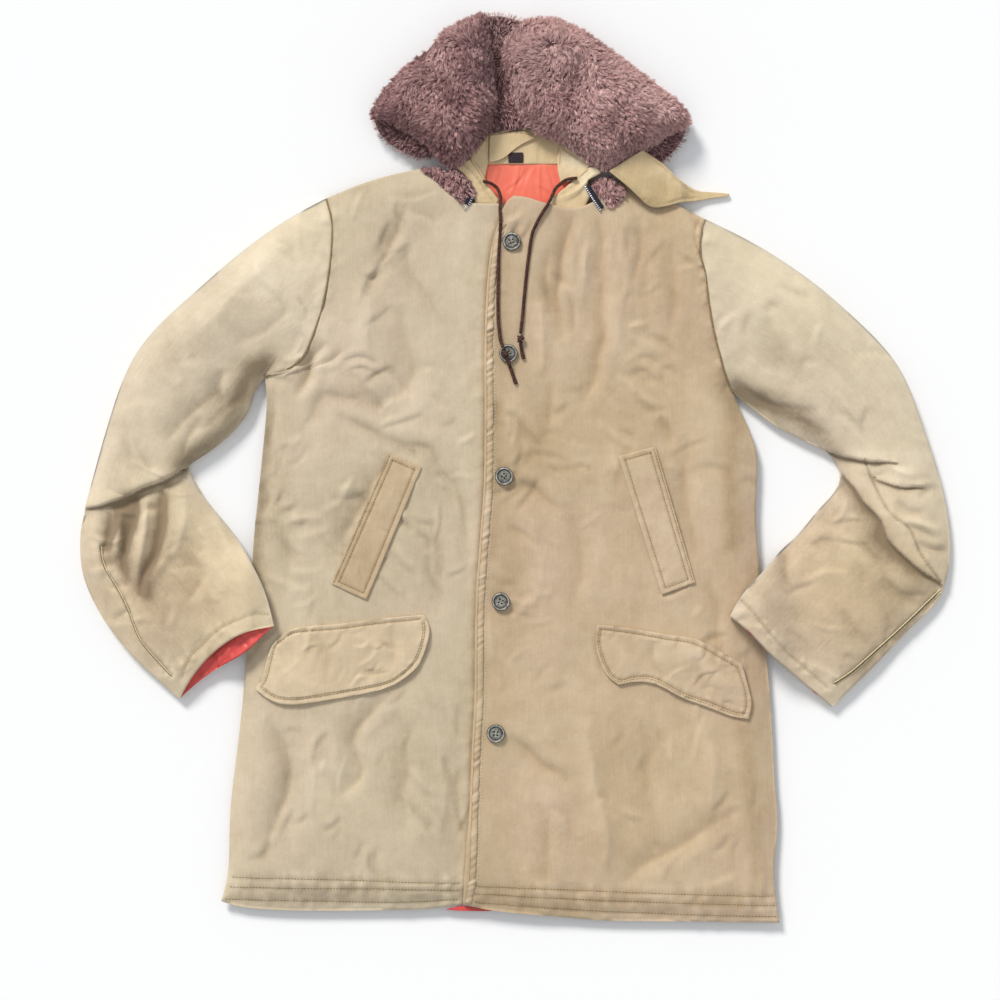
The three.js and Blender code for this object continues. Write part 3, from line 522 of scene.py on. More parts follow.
def knotPaths(settings):
    # an overhand knot's wraps: two tilted rings and one along the cord
    rings = []
    sx, sy, sz = settings["size"]
    for tilt, slip in ((0.5, -1.5), (-0.35, 1.4), (0.15, 0)):
        t = np.linspace(0, 2 * math.pi, 26)
        ring = np.column_stack([(sx - 1.2) * np.cos(t), slip + tilt * sx * np.cos(t) * 0.9, (sz - 1.3) * np.sin(t)])
        rings.append(ring)
    t = np.linspace(-1, 1, 16)
    rings.append(np.column_stack([1.4 * np.sin(3 * t), (sy - 1.4) * t, 0.6 * np.cos(4 * t)]))
    turn = np.array(Matrix.Rotation(settings["turn"], 3, "Z"))
    return [ring @ turn.T + np.array(settings["place"]) for ring in rings]


def makeCord(side):
    paths = strandPaths(cordRoutes[side], cordPiece)
    cord = tubesMesh("cord" + side, paths, cordPiece["strand"])
    route = smoothLine(cordRoutes[side], 8)
    long = np.linalg.norm(np.diff(smoothLine(cordRoutes[side], 2), axis=0), axis=1).sum()
    wraps = knotPaths(knots[side])
    knot = tubesMesh("knot" + side, wraps + strandPaths(tails[side], cordPiece, 0.35), 1.25)
    for piece, node in ((cord, "cord_"), (knot, "knot_")):
        finishPiece(piece, "cord", "drawstring", node + side.lower())


for side in ("Left", "Right"):
    makeCord(side)
print("cords made")


# cloth panels: the solid's form in fine quads, with listed creases and seams
# folds: the points along each, its half width and its height, which is negative where it's a trough
bodyFolds = [
    ([(-130, 316), (-143, 275), (-163, 240), (-176, 205)], 9, -3.6),
    ([(-128, 276), (-152, 252), (-176, 228), (-188, 196)], 8, 3.0),
    ([(-127, 270), (-125, 239), (-103, 198), (-84, 168)], 8, -2.6),
    ([(-136, 196), (-126, 150), (-128, 96), (-170, 68)], 17, -3.4),
    ([(-170, 205), (-178, 160), (-166, 120)], 14, 2.6),
    ([(-260, 42), (-237, 78), (-218, 87), (-148, 73)], 10, -2.8),
    ([(-200, 55), (-148, 36), (-107, 24), (-80, -11), (-58, -70), (-54, -120)], 11, -3.6),
    ([(-226, 152), (-240, 132), (-254, 104), (-266, 84)], 9, -4.4),
    ([(-206, 140), (-218, 128), (-234, 122)], 5, -2.6),
    ([(-230, 170), (-226, 148), (-217, 126)], 7, 1.2),
    ([(-239, 144), (-248, 112), (-258, 86)], 7, -2.4),
    ([(-294, 92), (-290, 60), (-297, 22)], 6, -2.8),
    ([(-197, 121), (-175, 88), (-150, 60)], 12, -2.4),
    ([(-150, 4), (-176, -28), (-197, -64), (-206, -110)], 15, -4.4),
    ([(-312, -12), (-298, -34), (-304, -62)], 7, -2.2),
    ([(-286, -60), (-270, -104), (-276, -160)], 12, -2.0),
    ([(-92, 6), (-74, -20), (-62, -80)], 7, 2.4),
    ([(-99, -60), (-88, -120), (-96, -180)], 13, -2.4),
    ([(-298, -300), (-272, -340), (-275, -395), (-300, -458)], 10, -4.6),
    ([(-146, -268), (-172, -298), (-194, -326), (-184, -366), (-214, -398)], 9, -4.0),
    ([(-250, -300), (-238, -350), (-250, -420)], 13, 3.0),
    ([(-226, -300), (-214, -356), (-228, -430)], 15, 2.4),
    ([(-140, -290), (-128, -350), (-138, -440)], 14, -2.4),
    ([(-96, -310), (-84, -380), (-92, -470)], 12, 2.0),
    ([(74, 304), (60, 262), (52, 220), (58, 150)], 9, -4.6),
    ([(112, 262), (106, 200), (101, 130), (80, 70)], 10, -4.6),
    ([(100, 300), (106, 262), (100, 226)], 6, -3.2),
    ([(42, 262), (38, 220), (44, 180)], 7, -2.8),
    ([(148, 304), (152, 260), (144, 220)], 7, -3.0),
    ([(30, 200), (36, 150), (28, 110)], 9, 2.6),
    ([(64, 214), (70, 186), (71, 160)], 6, -2.4),
    ([(90, 290), (84, 240), (80, 190)], 7, 1.4),
    ([(130, 300), (134, 240), (126, 170), (136, 110)], 11, 1.6),
    ([(160, 290), (156, 220), (164, 150)], 9, -1.8),
    ([(186, 270), (190, 210), (182, 150)], 10, -2.0),
    ([(41, 101), (44, 70), (38, 38)], 8, -2.4),
    ([(175, 62), (186, 44), (190, 26)], 7, -3.2),
    ([(0, 64), (20, 38), (36, 22)], 8, -2.8),
    ([(0, -14), (26, -26), (56, -52)], 7, -3.4),
    ([(14, -40), (30, -110), (22, -180)], 13, 2.0),
    ([(70, -30), (78, -110), (66, -190)], 15, -2.4),
    ([(208, 40), (206, -40), (220, -110)], 13, -3.2),
    ([(236, -120), (244, -190), (240, -250)], 10, -2.4),
    ([(-8, -320), (24, -346), (66, -378)], 8, -3.6),
    ([(86, -300), (103, -410), (114, -500)], 12, 3.4),
    ([(268, -410), (200, -452), (120, -500)], 11, -3.0),
    ([(170, -310), (160, -380), (176, -460)], 15, -2.6),
    ([(30, -400), (40, -450), (34, -500)], 11, -2.6),
    ([(232, -300), (238, -370), (228, -440)], 12, 2.2),
]


def strayFolds(seed, count, box, size=1.0):
    # short shallow creases, more of them at some places, their directions alike nearby
    rng = np.random.default_rng(seed)
    rows = []
    while len(rows) < count:
        x, y = rng.uniform(box[0], box[2]), rng.uniform(box[1], box[3])
        spot = np.array([[x], [y]])
        if softNoise(*spot, 80, seed)[0] < rng.uniform(-0.6, 0.3):
            continue
        turn = 2.4 * softNoise(*spot, 110, seed + 1)[0] + 0.9 + rng.normal(0, 0.35)
        half, bend = size * rng.uniform(8, 30), rng.uniform(-7, 7)
        dx, dy = math.cos(turn), math.sin(turn)
        points = [(x - dx * half, y - dy * half), (x - dy * bend, y + dx * bend), (x + dx * half, y + dy * half)]
        rows.append((points, rng.uniform(3, 6) * size, rng.choice([-1, -1, 1]) * rng.uniform(0.8, 2.2) * size))
    return rows


# how much a fold's line wanders, its two flanks and the swell behind it as shares of its half width, and its painted
# shade in a trough and painted highlight on a ridge
foldShape = {"wander": 0.3, "steep": 0.4, "gentle": 1.25, "swell": 0.3, "dark": 0.07, "pale": 0.035}
# a lap: how far it rises and drops, how wide its edge is, and the painted shadow line under its edge, the painted shade
# below it and the painted highlight on its top
lapShape = {"rise": 0.4, "drop": 0.6, "edge": 1.7, "line": 0.85, "lineWidth": 2.2, "shade": 0.2, "pale": 0.1}


def foldField(rows, x, y):
    # each fold falls steeply on the left of its line and gently on the right; a lap is a sharp step down there
    z = np.zeros(x.shape)
    tone = np.zeros(x.shape)
    for k, (points, width, height, *kind) in enumerate(rows):
        line = smoothLine(points, 6)
        near = nearLine(line, 4 * width, x, y)
        if not near.any():
            continue
        side, along = lineField(line, x[near], y[near])
        share = along / max(along.max(), 1)
        wave = np.clip(np.sin(np.pi * share), 0, 1) ** 0.6
        side = side + foldShape["wander"] * width * softNoise(along, along * 0, 26, 11 + k)
        if kind:
            wave = np.clip(np.sin(np.pi * np.clip(share * 0.86 + 0.07, 0, 1)), 0, 1) ** 0.35
            ease = np.exp(-(side / width) ** 2)
            step = np.where(side > 0, lapShape["rise"] * ease, -lapShape["drop"] * ease)
            z[near] += height * wave * step * np.abs(np.tanh(side / lapShape["edge"]))
            # painted shadow under the lap's edge and painted shade below it, painted highlight on its top
            below = (-lapShape["line"] * np.exp(-((side + 1.4) / lapShape["lineWidth"]) ** 2)
                     - lapShape["shade"] * np.exp(-(side / (0.8 * width)) ** 2))
            tone[near] += wave * np.where(side < 0, below, lapShape["pale"])
        else:
            steep = np.exp(-(np.clip(side, 0, None) / (foldShape["steep"] * width)) ** 1.3)
            gentle = np.exp(-(np.clip(-side, 0, None) / (foldShape["gentle"] * width)) ** 1.6)
            swell = np.exp(-((side - 1.5 * width) / (0.8 * width)) ** 2)
            z[near] += height * wave * (steep * gentle - foldShape["swell"] * swell)
            # painted shade in a trough, painted highlight on a ridge
            tone[near] += foldShape["dark" if height < 0 else "pale"] * height * wave * steep * gentle
    return z, tone


def seamField(rows, x, y):
    # a groove along each seam, a roll beside it and the small puckers that its sewing makes
    z = np.zeros(x.shape)
    tone = np.zeros(x.shape)
    for k, row in enumerate(rows):
        line = row["line"]
        reach = row.get("reach", 14)
        near = nearLine(line, 3 * reach, x, y)
        if not near.any():
            continue
        side, along = lineField(line, x[near], y[near])
        off = np.abs(side)
        groove = np.exp(-(off / row.get("width", 2.6)) ** 2)
        fade = np.exp(-(off / reach) ** 2)
        period = row.get("period", 9)
        ripple = softNoise(along + 0.35 * off, off * 0.25, period, 40 + k)
        ripple = ripple + 0.5 * softNoise(along, off, period / 2, 60 + k)
        z[near] += -row.get("depth", 1) * groove + row.get("pucker", 0.8) * ripple * fade * (1 - 0.6 * groove)
        if "roll" in row:
            height, width = row["roll"]  # raised cloth between the seam and its edge, on the line's left
            inRoll = (side > -1) & (side < width + 2)
            z[near] += np.where(inRoll, height * np.sin(np.pi * np.clip((side + 1) / (width + 3), 0, 1)), 0)
        # painted shade in the seam's groove and painted highlight on its raised puckers
        tone[near] += row.get("dark", -0.35) * groove + row.get("pale", 0.16) * np.clip(ripple, 0, 1) * fade
    return z, tone


def grainOf(places, line=None):
    # the cloth's own directions, along the line or as the whole garment is turned in the picture
    turn = math.radians(2.5)
    if line is None:
        x, y = places[:, 0], places[:, 1]
        across, along = x * math.cos(turn) + y * math.sin(turn), y * math.cos(turn) - x * math.sin(turn)
    else:
        across, along = lineField(line, places[:, 0], places[:, 1])
    return np.column_stack([across, along, np.zeros(len(places))]) * mm


def patchTone(rows, x, y):
    # lighter and darker places, mostly painted shade and painted light: x, y, half width, half height, amount
    tone = np.zeros(x.shape)
    for px, py, rx, ry, amount in rows:
        tone += amount * np.exp(-(((x - px) / rx) ** 2 + ((y - py) / ry) ** 2))
    return tone


def shadeTone(rows, x, y):
    # long strips of painted shade, and of painted light where the amount is positive: the points along each, its half
    # width and amount
    tone = np.zeros(x.shape)
    for points, width, amount in rows:
        side, along = lineField(smoothLine(points, 8), x, y)
        tone += amount * np.exp(-(side / width) ** 2)
    return tone


def dressPanel(obj, creases=(), seams=(), patches=(), lumps=((60, 1.6), (22, 0.45), (8, 0.12)), seed=1, floor=8.9,
               grainLine=None, shades=(), paintedRimLight=0, warmShade=(), spread=0):
    refine(obj, [row["line"] for row in seams if row.get("fine")], 6, 1)
    refine(obj, [smoothLine(row[0], 6) for row in creases if len(row) > 3], 7, 2)
    mesh = obj.data
    places, normals = placesOf(mesh), normalsOf(mesh)
    places[:, :2] += spread * normals[:, :2]  # the rims come close to their neighbours
    x, y, z = places.T
    up = np.clip((normals[:, 2] - 0.05) / 0.4, 0, 1)
    lift, foldTone = foldField(creases, x, y)
    for k, (size, height) in enumerate(lumps):
        lift += height * softNoise(x, y * 0.8, size, seed * 10 + k)
    sewn, tone = seamField(seams, x, y)
    # tone: painted shade and highlights from the folds, seams, patches and strips, and a little painted light where the
    # cloth stands higher
    tone += foldTone + 0.02 * lift + patchTone(patches, x, y) + shadeTone(shades, x, y)
    places[:, 2] = np.where(up > 0, np.maximum(z + (lift + sewn) * up, np.minimum(z, floor)), z)
    setPlaces(mesh, places)
    setAttribute(mesh, "tone", np.clip(tone, -1, 1))
    setAttribute(mesh, "grain", grainOf(places, grainLine))
    setAttribute(mesh, "warmShade", np.clip(patchTone(warmShade, x, y), 0, 1))
    # painted light: how much each rim turns to the cool grey, by the way it faces
    if paintedRimLight:  # the rims that face up the picture catch a cooler light
        turned = np.clip((0.88 - normals[:, 2]) / 0.5, 0, 1)
        setAttribute(mesh, "paintedRimLight", paintedRimLight * turned * np.clip(normals[:, 1] + 0.4, 0, 1))
    return obj


# seams of the body, in the order that they are sewn
placketLine = smoothLine([(-61, -522), (-56, -492), (-53, -410), (-50, -330), (-47, -276), (-46, -170), (-41, -89),
                          (-36, -20), (-35, 60), (-35, 154), (-32, 222), (-26, 271), (-16, 300), (-11, 318)], 3)
armholeLineLeft = smoothLine([(-227, 324), (-220, 296), (-220, 264), (-224, 230), (-230, 198), (-238, 171),
                              (-246, 150), (-256, 131), (-279, 116), (-301, 111)], 4)
armholeLineRight = smoothLine([(229, 299), (224, 280), (223, 256), (229, 232), (233, 199), (238, 169),
                               (247, 132), (257, 101), (262, 91)], 4)
armholeTop = smoothLine([(222, 300), (216, 288), (216, 272), (222, 258)], 4)
hemRowsLeft = [smoothLine(row, 5) for row in (
    [(-340, -492), (-234, -494), (-138, -497), (-66, -499)],
    [(-343, -504), (-234, -505), (-138, -506), (-67, -508)],
    [(-349, -519), (-234, -521), (-138, -522), (-68, -519)])]
hemRowsRight = [smoothLine(row, 5) for row in (
    [(-48, -502), (54, -506), (174, -511), (312, -515)],
    [(-48, -511), (54, -517), (174, -522), (313, -526)],
    [(-48, -522), (54, -530), (174, -536), (316, -540)])]


def seamRows(lines, step=3, **measures):
    # rows for seamField, along smooth lines
    return [{"line": smoothLine(line, step), **measures} for line in lines]


hemSeam = {"depth": 0.9, "width": 2.0, "pucker": 1.7, "period": 10, "reach": 8, "pale": 0.3}
frontLeft = dressPanel(
    fineCopy("frontLeft", "front_left", 3), bodyFolds + strayFolds(71, 120, (-330, -500, -50, 330)),
    [{"line": armholeLineLeft, "depth": 0.7, "width": 1.8, "pucker": 1.0, "period": 12, "reach": 15, "dark": -0.35,
      "fine": True},
     {"line": placketLine, "depth": 1.4, "width": 4, "pucker": 0.5, "dark": -0.6}]
    + [{"line": row, **hemSeam} for row in hemRowsLeft],
    patches=[(-250, 40, 50, 120, 0.06), (-120, -330, 60, 100, -0.1), (-200, -510, 150, 12, -0.3)],
    shades=[([(-309, 96), (-302, 40), (-308, -40), (-314, -130)], 9, -0.5),
            ([(-290, 80), (-284, 20), (-290, -60), (-298, -130)], 26, -0.22),
            ([(-62, 300), (-60, 100), (-66, -60)], 12, 0.1),
            ([(-180, 340), (-222, 320), (-226, 270), (-226, 230)], 12, -0.25)], seed=3, spread=0.8)
frontRight = dressPanel(
    fineCopy("frontRight", "front_right", 3), bodyFolds + strayFolds(72, 125, (-30, -500, 300, 300)),
    [{"line": armholeLineRight, "depth": 0.7, "width": 1.8, "pucker": 1.3, "period": 10, "reach": 15, "dark": -0.35,
      "fine": True},
     {"line": armholeTop, "depth": 0.8, "width": 1.8, "pucker": 0.5, "period": 8, "reach": 6}]
    + [{"line": row, **hemSeam} for row in hemRowsRight],
    # the patches include painted shade in the armpit's pleat
    patches=[(60, -60, 60, 200, 0.1), (20, 60, 25, 120, -0.15), (120, -460, 60, 40, -0.15), (130, -522, 190, 13, -0.3),
             (0, -120, 26, 90, -0.22), (110, 250, 40, 90, 0.05), (271, 86, 7, 9, -0.9), (120, -90, 120, 160, -0.12)],
    shades=[([(250, 110), (262, 60), (258, 0), (262, -90)], 12, -0.4), ([(-14, 250), (-20, 100), (-28, -100)], 9, -0.2),
            ([(270, -260), (282, -380), (296, -500)], 12, -0.25)], seed=4, spread=0.8)
finishPiece(frontLeft, "frontLeft", "shell_cloth", "front_left")
finishPiece(frontRight, "frontRight", "shell_cloth", "front_right")
print("fronts made")

# the edge of the placket, which its topstitch pulls into a rope
ropePiece = {"line": moved(placketLine, -4.9)[:-8], "half": 4.4, "rise": 2.3, "pucker": 0.5, "period": 8.2,
             "slant": 0.6, "sides": 9, "step": 1.25}


def makeRope(piece, tree):
    line = smoothLine(piece["line"], piece["step"])
    way = unit(np.gradient(line, axis=0))
    across = np.column_stack([way[:, 1], -way[:, 0]])
    level = np.array([levelOn(tree, *p) for p in line])
    level = np.convolve(np.pad(level, 8, "edge"), np.ones(17) / 17, "valid")
    run = np.arange(len(line)) * piece["step"]
    around = np.linspace(0, 2 * math.pi, piece["sides"], endpoint=False)
    uneven = 1 + 0.75 * softNoise(run, run * 0, 24, 51)
    shift = 4 * softNoise(run, run * 0, 21, 52)
    rings, tones = [], []
    for angle in around:
        side = piece["half"] * math.cos(angle)
        slip = run + shift - piece["slant"] * side
        wave = 0.55 * np.sin(2 * np.pi * slip / piece["period"]) + 1.2 * softNoise(slip, slip * 0, 4.4, 53)
        lift = math.sin(angle)
        up = lift ** 0.8 * piece["rise"] if lift > 0 else 0.8 * lift
        high = up + (piece["pucker"] * uneven * wave * (0.25 + max(lift, 0)) if lift > -0.1 else 0)
        wide = side * (1 + 0.05 * uneven * wave)
        rings.append(np.column_stack([line + across * wide[:, None], level - 0.4 + high]))
        # painted highlight and shade over the puckers, and painted shade along the rope's two sides
        tones.append(0.05 + 0.26 * uneven * wave - 0.7 * (abs(math.cos(angle)) > 0.85))
    count, sides = len(line), piece["sides"]
    places = np.stack(rings, axis=1).reshape(-1, 3)
    faces = [[i * sides + j, i * sides + (j + 1) % sides, (i + 1) * sides + (j + 1) % sides, (i + 1) * sides + j]
             for i in range(count - 1) for j in range(sides)]
    faces += [list(range(sides))[::-1], [(count - 1) * sides + j for j in range(sides)]]
    mesh = bpy.data.meshes.new("placketRope")
    mesh.from_pydata((places * mm).tolist(), [], faces)
    bm = bmesh.new()
    bm.from_mesh(mesh)
    bmesh.ops.recalc_face_normals(bm, faces=bm.faces)
    bm.to_mesh(mesh)
    bm.free()
    shadeSmooth(mesh)
    setAttribute(mesh, "tone", np.clip(np.stack(tones, axis=1).ravel(), -1, 1))
    setAttribute(mesh, "grain", grainOf(places))
    return finishPiece(link(bpy.data.objects.new("placketRope", mesh)), "frontRight", "shell_cloth")


def fillSeam(name, line, tree, radius=1.2, drop=0.5, reach=3, material="seam"):
    # the cloth that shows down in a seam, so that no light comes through; in the default material it is the painted
    # dark of the seam's shade
    fine = smoothLine(line, 3)
    left, right = moved(fine, reach), moved(fine, -reach)
    level = np.array([max(levelOn(tree, *p), levelOn(tree, *q)) for p, q in zip(left, right)])
    tube = tubesMesh(name, [np.column_stack([fine, level - drop - radius + 0.6])], radius)
    return finishPiece(tube, material, "shell_cloth")


makeRope(ropePiece, treeOf("frontRight"))

# sleeves
sleeveFolds = {
    "left": [
        ([(-518, -50), (-496, -43), (-466, -31), (-430, -17), (-404, -4)], 13, 8.5, "lap"),
        ([(-454, -36), (-458, -66), (-467, -110), (-461, -142)], 8, -7.4),
        ([(-440, -30), (-441, -70), (-450, -110), (-452, -140)], 8, 5.2),
        ([(-424, -24), (-421, -66), (-431, -107), (-444, -132), (-446, -156)], 7, -7.6),
        ([(-486, -52), (-488, -80), (-494, -104)], 8, -6.4),
        ([(-470, -50), (-474, -84), (-482, -112)], 6, 4.0),
        ([(-400, -30), (-396, -70), (-404, -110)], 13, 4.0),
        ([(-398, -84), (-376, -126), (-396, -164)], 8, -2.4),
        ([(-372, -96), (-352, -120), (-346, -150)], 10, 2.6),
        ([(-352, -60), (-338, -84), (-322, -92)], 7, -2.0),
        ([(-500, -96), (-488, -92), (-474, -96)], 5, -2.4),
        ([(-512, -128), (-496, -120), (-482, -124)], 6, 2.2),
        ([(-484, -180), (-466, -172), (-450, -178)], 6, -2.0),
        ([(-350, 118), (-354, 98), (-350, 76)], 10, -4.0),
        ([(-318, 112), (-330, 88), (-352, 66), (-390, 42)], 13, -3.6),
        ([(-350, 92), (-374, 74), (-400, 52), (-420, 28)], 12, -3.6),
        ([(-372, 60), (-392, 34), (-402, 14)], 8, -3.0),
        ([(-330, 66), (-362, 40), (-396, 18)], 12, 2.0),
        ([(-300, 240), (-350, 190), (-404, 140)], 18, 2.2),
        ([(-268, 190), (-300, 160), (-336, 150)], 11, -2.0),
        ([(-470, 60), (-462, 20), (-446, -6)], 12, -2.2),
    ],
    "right": [
        ([(374, 20), (401, 14), (431, 10), (452, 7)], 11, 7, "lap"),
        ([(388, -4), (417, -37), (441, -61), (450, -86), (479, -116), (515, -143)], 15, 9, "lap"),
        ([(436, -12), (460, -20), (486, -23)], 8, 4, "lap"),
        ([(440, 8), (462, -2), (482, -10)], 8, 3.2),
        ([(466, -66), (486, -74), (508, -86)], 5, -3.4),
        ([(470, -58), (490, -66), (512, -74)], 6, 2.6),
        ([(484, -90), (502, -97), (522, -98)], 5, -3.0),
        ([(456, -40), (474, -50), (494, -52)], 7, -2.6),
        ([(262, 108), (280, 98), (300, 78), (336, 70), (366, 72)], 11, -5.0),
        ([(276, 132), (300, 112), (330, 100)], 12, 2.4),
        ([(330, 66), (356, 52), (380, 36)], 10, -3.0),
        ([(300, 180), (330, 130), (352, 100)], 14, -2.2),
        ([(338, 40), (352, 24), (372, 12)], 8, 2.4),
        ([(354, -96), (372, -84), (384, -90)], 8, -3.0),
        ([(330, -90), (322, -118), (336, -150)], 8, -3.2),
        ([(300, -78), (312, -100), (308, -130)], 9, 2.4),
        ([(392, -70), (420, -110), (444, -140)], 13, 2.4),
        ([(440, -130), (466, -152), (500, -152)], 9, -3.2),
        ([(392, -170), (410, -190), (428, -214)], 10, -2.4),
        ([(256, -146), (270, -136), (290, -132)], 7, -2.0),
    ],
}
# painted shade under the elbow lap, in the armpits and over the forearms, and a little painted light on the upper arms
# and near the cuffs
sleevePatches = {
    "left": [(-467, -54, 12, 26, -0.9), (-419, -52, 7, 40, -0.5), (-438, -146, 10, 16, -0.4), (-300, 230, 60, 50, 0.12),
             (-318, 122, 18, 11, -0.3), (-386, -190, 26, 30, 0.14), (-430, -120, 80, 110, -0.28)],
    "right": [(300, 88, 26, 12, -0.4), (330, 210, 60, 40, 0.12), (380, -160, 40, 50, 0.12), (436, -92, 16, 22, -0.3),
              (372, -40, 14, 40, -0.15), (400, -150, 130, 110, -0.36), (268, 84, 9, 9, -0.9)],
}
# painted shade: where the forearms are made warmer and darker
sleeveWarmShade = {"left": [(-400, -150, 130, 110, 0.8)], "right": [(400, -150, 130, 120, 0.9)]}
sleeveShades = {
    "left": [([(-300, 126), (-318, 112), (-328, 88), (-350, 48), (-402, 6)], 15, -0.75),
             ([(-482, -52), (-490, -90), (-488, -112)], 8, -0.35),
             ([(-468, -50), (-478, -68), (-490, -92)], 5, -0.8),
             ([(-458, -50), (-463, -90), (-464, -130)], 10, -0.35),
             ([(-424, -40), (-426, -80), (-438, -120), (-446, -150)], 9, -0.35)],
    "right": [([(262, 100), (300, 76), (350, 54), (386, 20)], 11, -0.4),
              ([(388, -10), (420, -46), (446, -90), (480, -124)], 14, -0.3)],
}
sleeveSeams = {
    "left": [(-497, -94), (-492, -118), (-468, -160), (-451, -203), (-432, -228), (-413, -249)],
    "right": [(514, -147), (497, -162), (461, -196), (427, -226), (404, -246), (384, -259)],
}
elbowSeam = [(420, 10), (431, -19), (449, -53), (473, -73), (487, -103), (512, -137)]
cuffStitch = {
    "left": [(-295, -175), (-314, -175), (-351, -191), (-386, -222), (-401, -251)],
    "right": [(266, -154), (281, -169), (314, -209), (347, -239), (376, -264)],
}
sleeveMiddle = {
    "left": smoothLine([(-242, 230), (-330, 170), (-395, 92), (-448, -10), (-452, -80), (-420, -150),
                        (-346, -233)], 12),
    "right": smoothLine([(246, 195), (335, 145), (410, 75), (448, 0), (450, -80), (395, -150), (320, -232)], 12),
}
cuffFolds = {
    "left": [
        ([(-392, -252), (-372, -230), (-340, -208)], 4, 1.6),
        ([(-378, -262), (-350, -232), (-318, -200)], 4, -1.8),
        ([(-360, -246), (-340, -226), (-306, -204)], 3, 1.4),
        ([(-384, -234), (-378, -246), (-374, -258)], 3, -1.6),
        ([(-364, -216), (-358, -232), (-356, -246)], 3, -1.8),
        ([(-346, -204), (-342, -218), (-336, -234)], 3, 1.6),
        ([(-330, -196), (-322, -208), (-316, -218)], 3, -1.6),
        ([(-314, -190), (-306, -198), (-300, -206)], 2.4, 1.2),
    ],
    "right": [],
}


def tuckCuff(cuff):
    # the lining shows at two places only, elsewhere it stays inside the cuff
    places = placesOf(cuff.data)
    shows = np.exp(-(np.hypot(places[:, 0] - 284, places[:, 1] + 194) / 13) ** 2)
    shows += np.exp(-(np.hypot(places[:, 0] - 363, places[:, 1] + 268) / 9) ** 2)
    places[:, :2] += 4.6 * (1 - np.clip(shows, 0, 1))[:, None] * np.array([0.66, 0.75])
    setPlaces(cuff.data, places)


armholeOf = {"left": armholeLineLeft, "right": armholeLineRight}
sleeveStray = {"left": (73, 70, (-500, -240, -240, 300)), "right": (74, 70, (250, -250, 510, 280))}
for side in ("left", "right"):
    over = fineCopy(f"sleeveOver{side.title()}", f"sleeve_{side}_over", 3)
    elbow = seamRows([elbowSeam], 5, depth=1.2, width=1.8, pucker=0.9, reach=8, dark=-0.6) if side == "right" else []
    dressPanel(over, sleeveFolds[side] + strayFolds(*sleeveStray[side]),
               [{"line": armholeOf[side], "depth": 0.7, "width": 1.8, "pucker": 1.2, "period": 13, "reach": 20,
                 "dark": -0.3}]
               + seamRows([sleeveSeams[side]], 5, depth=1.8, width=2.4, pucker=0.7, period=11, dark=-0.2, pale=0.5,
                       fine=True)
               + seamRows([cuffStitch[side]], 5, depth=1.1, width=1.9, pucker=1.5, period=8, reach=8, pale=0.3) + elbow,
               lumps=((60, 1.8), (24, 0.6), (9, 0.15)), seed=5 if side == "left" else 6, floor=9.2,
               grainLine=sleeveMiddle[side], patches=sleevePatches[side], shades=sleeveShades[side], paintedRimLight=0.85,
               warmShade=sleeveWarmShade[side], spread=0.9)
    finishPiece(over, "sleeve", "shell_cloth", f"sleeve_{side}_over")
    under = fineCopy(f"sleeveUnder{side.title()}", f"sleeve_{side}_under", 1)
    dressPanel(under, lumps=((40, 0.1), (12, 0.1)), floor=0, grainLine=sleeveMiddle[side])
    finishPiece(under, "sleeve", "shell_cloth", f"sleeve_{side}_under")
    cuff = fineCopy(f"cuffLining{side.title()}", f"lining_cuff_{side}", 3)
    dressPanel(cuff, cuffFolds[side], lumps=((14, 0.7), (5, 0.6)), floor=0)
    if side == "right":
        tuckCuff(cuff)
    finishPiece(cuff, "cuffLining", "orange_lining", f"lining_cuff_{side}")
print("sleeves made")


def plainPiece(name, node, levels, crease, lumps, seed, material, slot):
    obj = fineCopy(name, node, levels, crease)
    dressPanel(obj, lumps=lumps, floor=0, seed=seed)
    return finishPiece(obj, material, slot, node)


# many small things from one small mesh
def strew(name, bm, placed, tones=None):
    # placed holds, for each copy, the places of the small mesh's points
    bm.verts.ensure_lookup_table()
    faces = [[v.index for v in face.verts] for face in bm.faces]
    count, points = placed.shape[:2]
    starts = (np.arange(count) * points)[:, None]
    bySize = {}
    for face in faces:
        bySize.setdefault(len(face), []).append(face)
    allFaces = []
    for size, group in bySize.items():
        one = np.array(group)
        allFaces += (starts[:, :, None] + one[None]).reshape(-1, size).tolist()
    mesh = bpy.data.meshes.new(name)
    mesh.from_pydata((placed.reshape(-1, 3) * mm).tolist(), [], allFaces)
    shadeSmooth(mesh)
    if tones is not None:
        setAttribute(mesh, "tone", tones.ravel())
    return link(bpy.data.objects.new(name, mesh))


def smallMesh(bm):
    bm.verts.ensure_lookup_table()
    bm.verts.index_update()
    return np.array([v.co[:] for v in bm.verts])


# hood: the ground cloth of the pile and the locks that stand on it
hoodPiece = {"lock": 8.2, "thick": 0.36, "tuft": 2.3, "stand": 0.5, "gather": 0.3}
# how unlike each other the tufts, and the locks in a tuft, are in direction and tone
pileSpread = {"tuftTurn": 0.34, "lockTurn": 0.2, "tuftTone": 0.2, "lockTone": 0.22}
lockTones = {"root": -0.5, "bend": 0.2, "tip": 0.5}
# which way the pile lies at some places, in degrees from the photo's right
pileFlow = [(-150, 430, 200), (-110, 480, 215), (-100, 400, 235), (-50, 520, 100), (-50, 470, 250), (-40, 400, 300),
            (-14, 470, 270), (-10, 530, 80), (20, 470, 200), (20, 420, 230), (60, 520, 60), (70, 480, 240),
            (80, 430, 290), (110, 400, 300), (120, 480, 40), (150, 440, 330), (190, 420, 340), (130, 380, 280),
            (-95, 350, 260), (-66, 325, 290), (110, 335, 250), (125, 330, 300)]


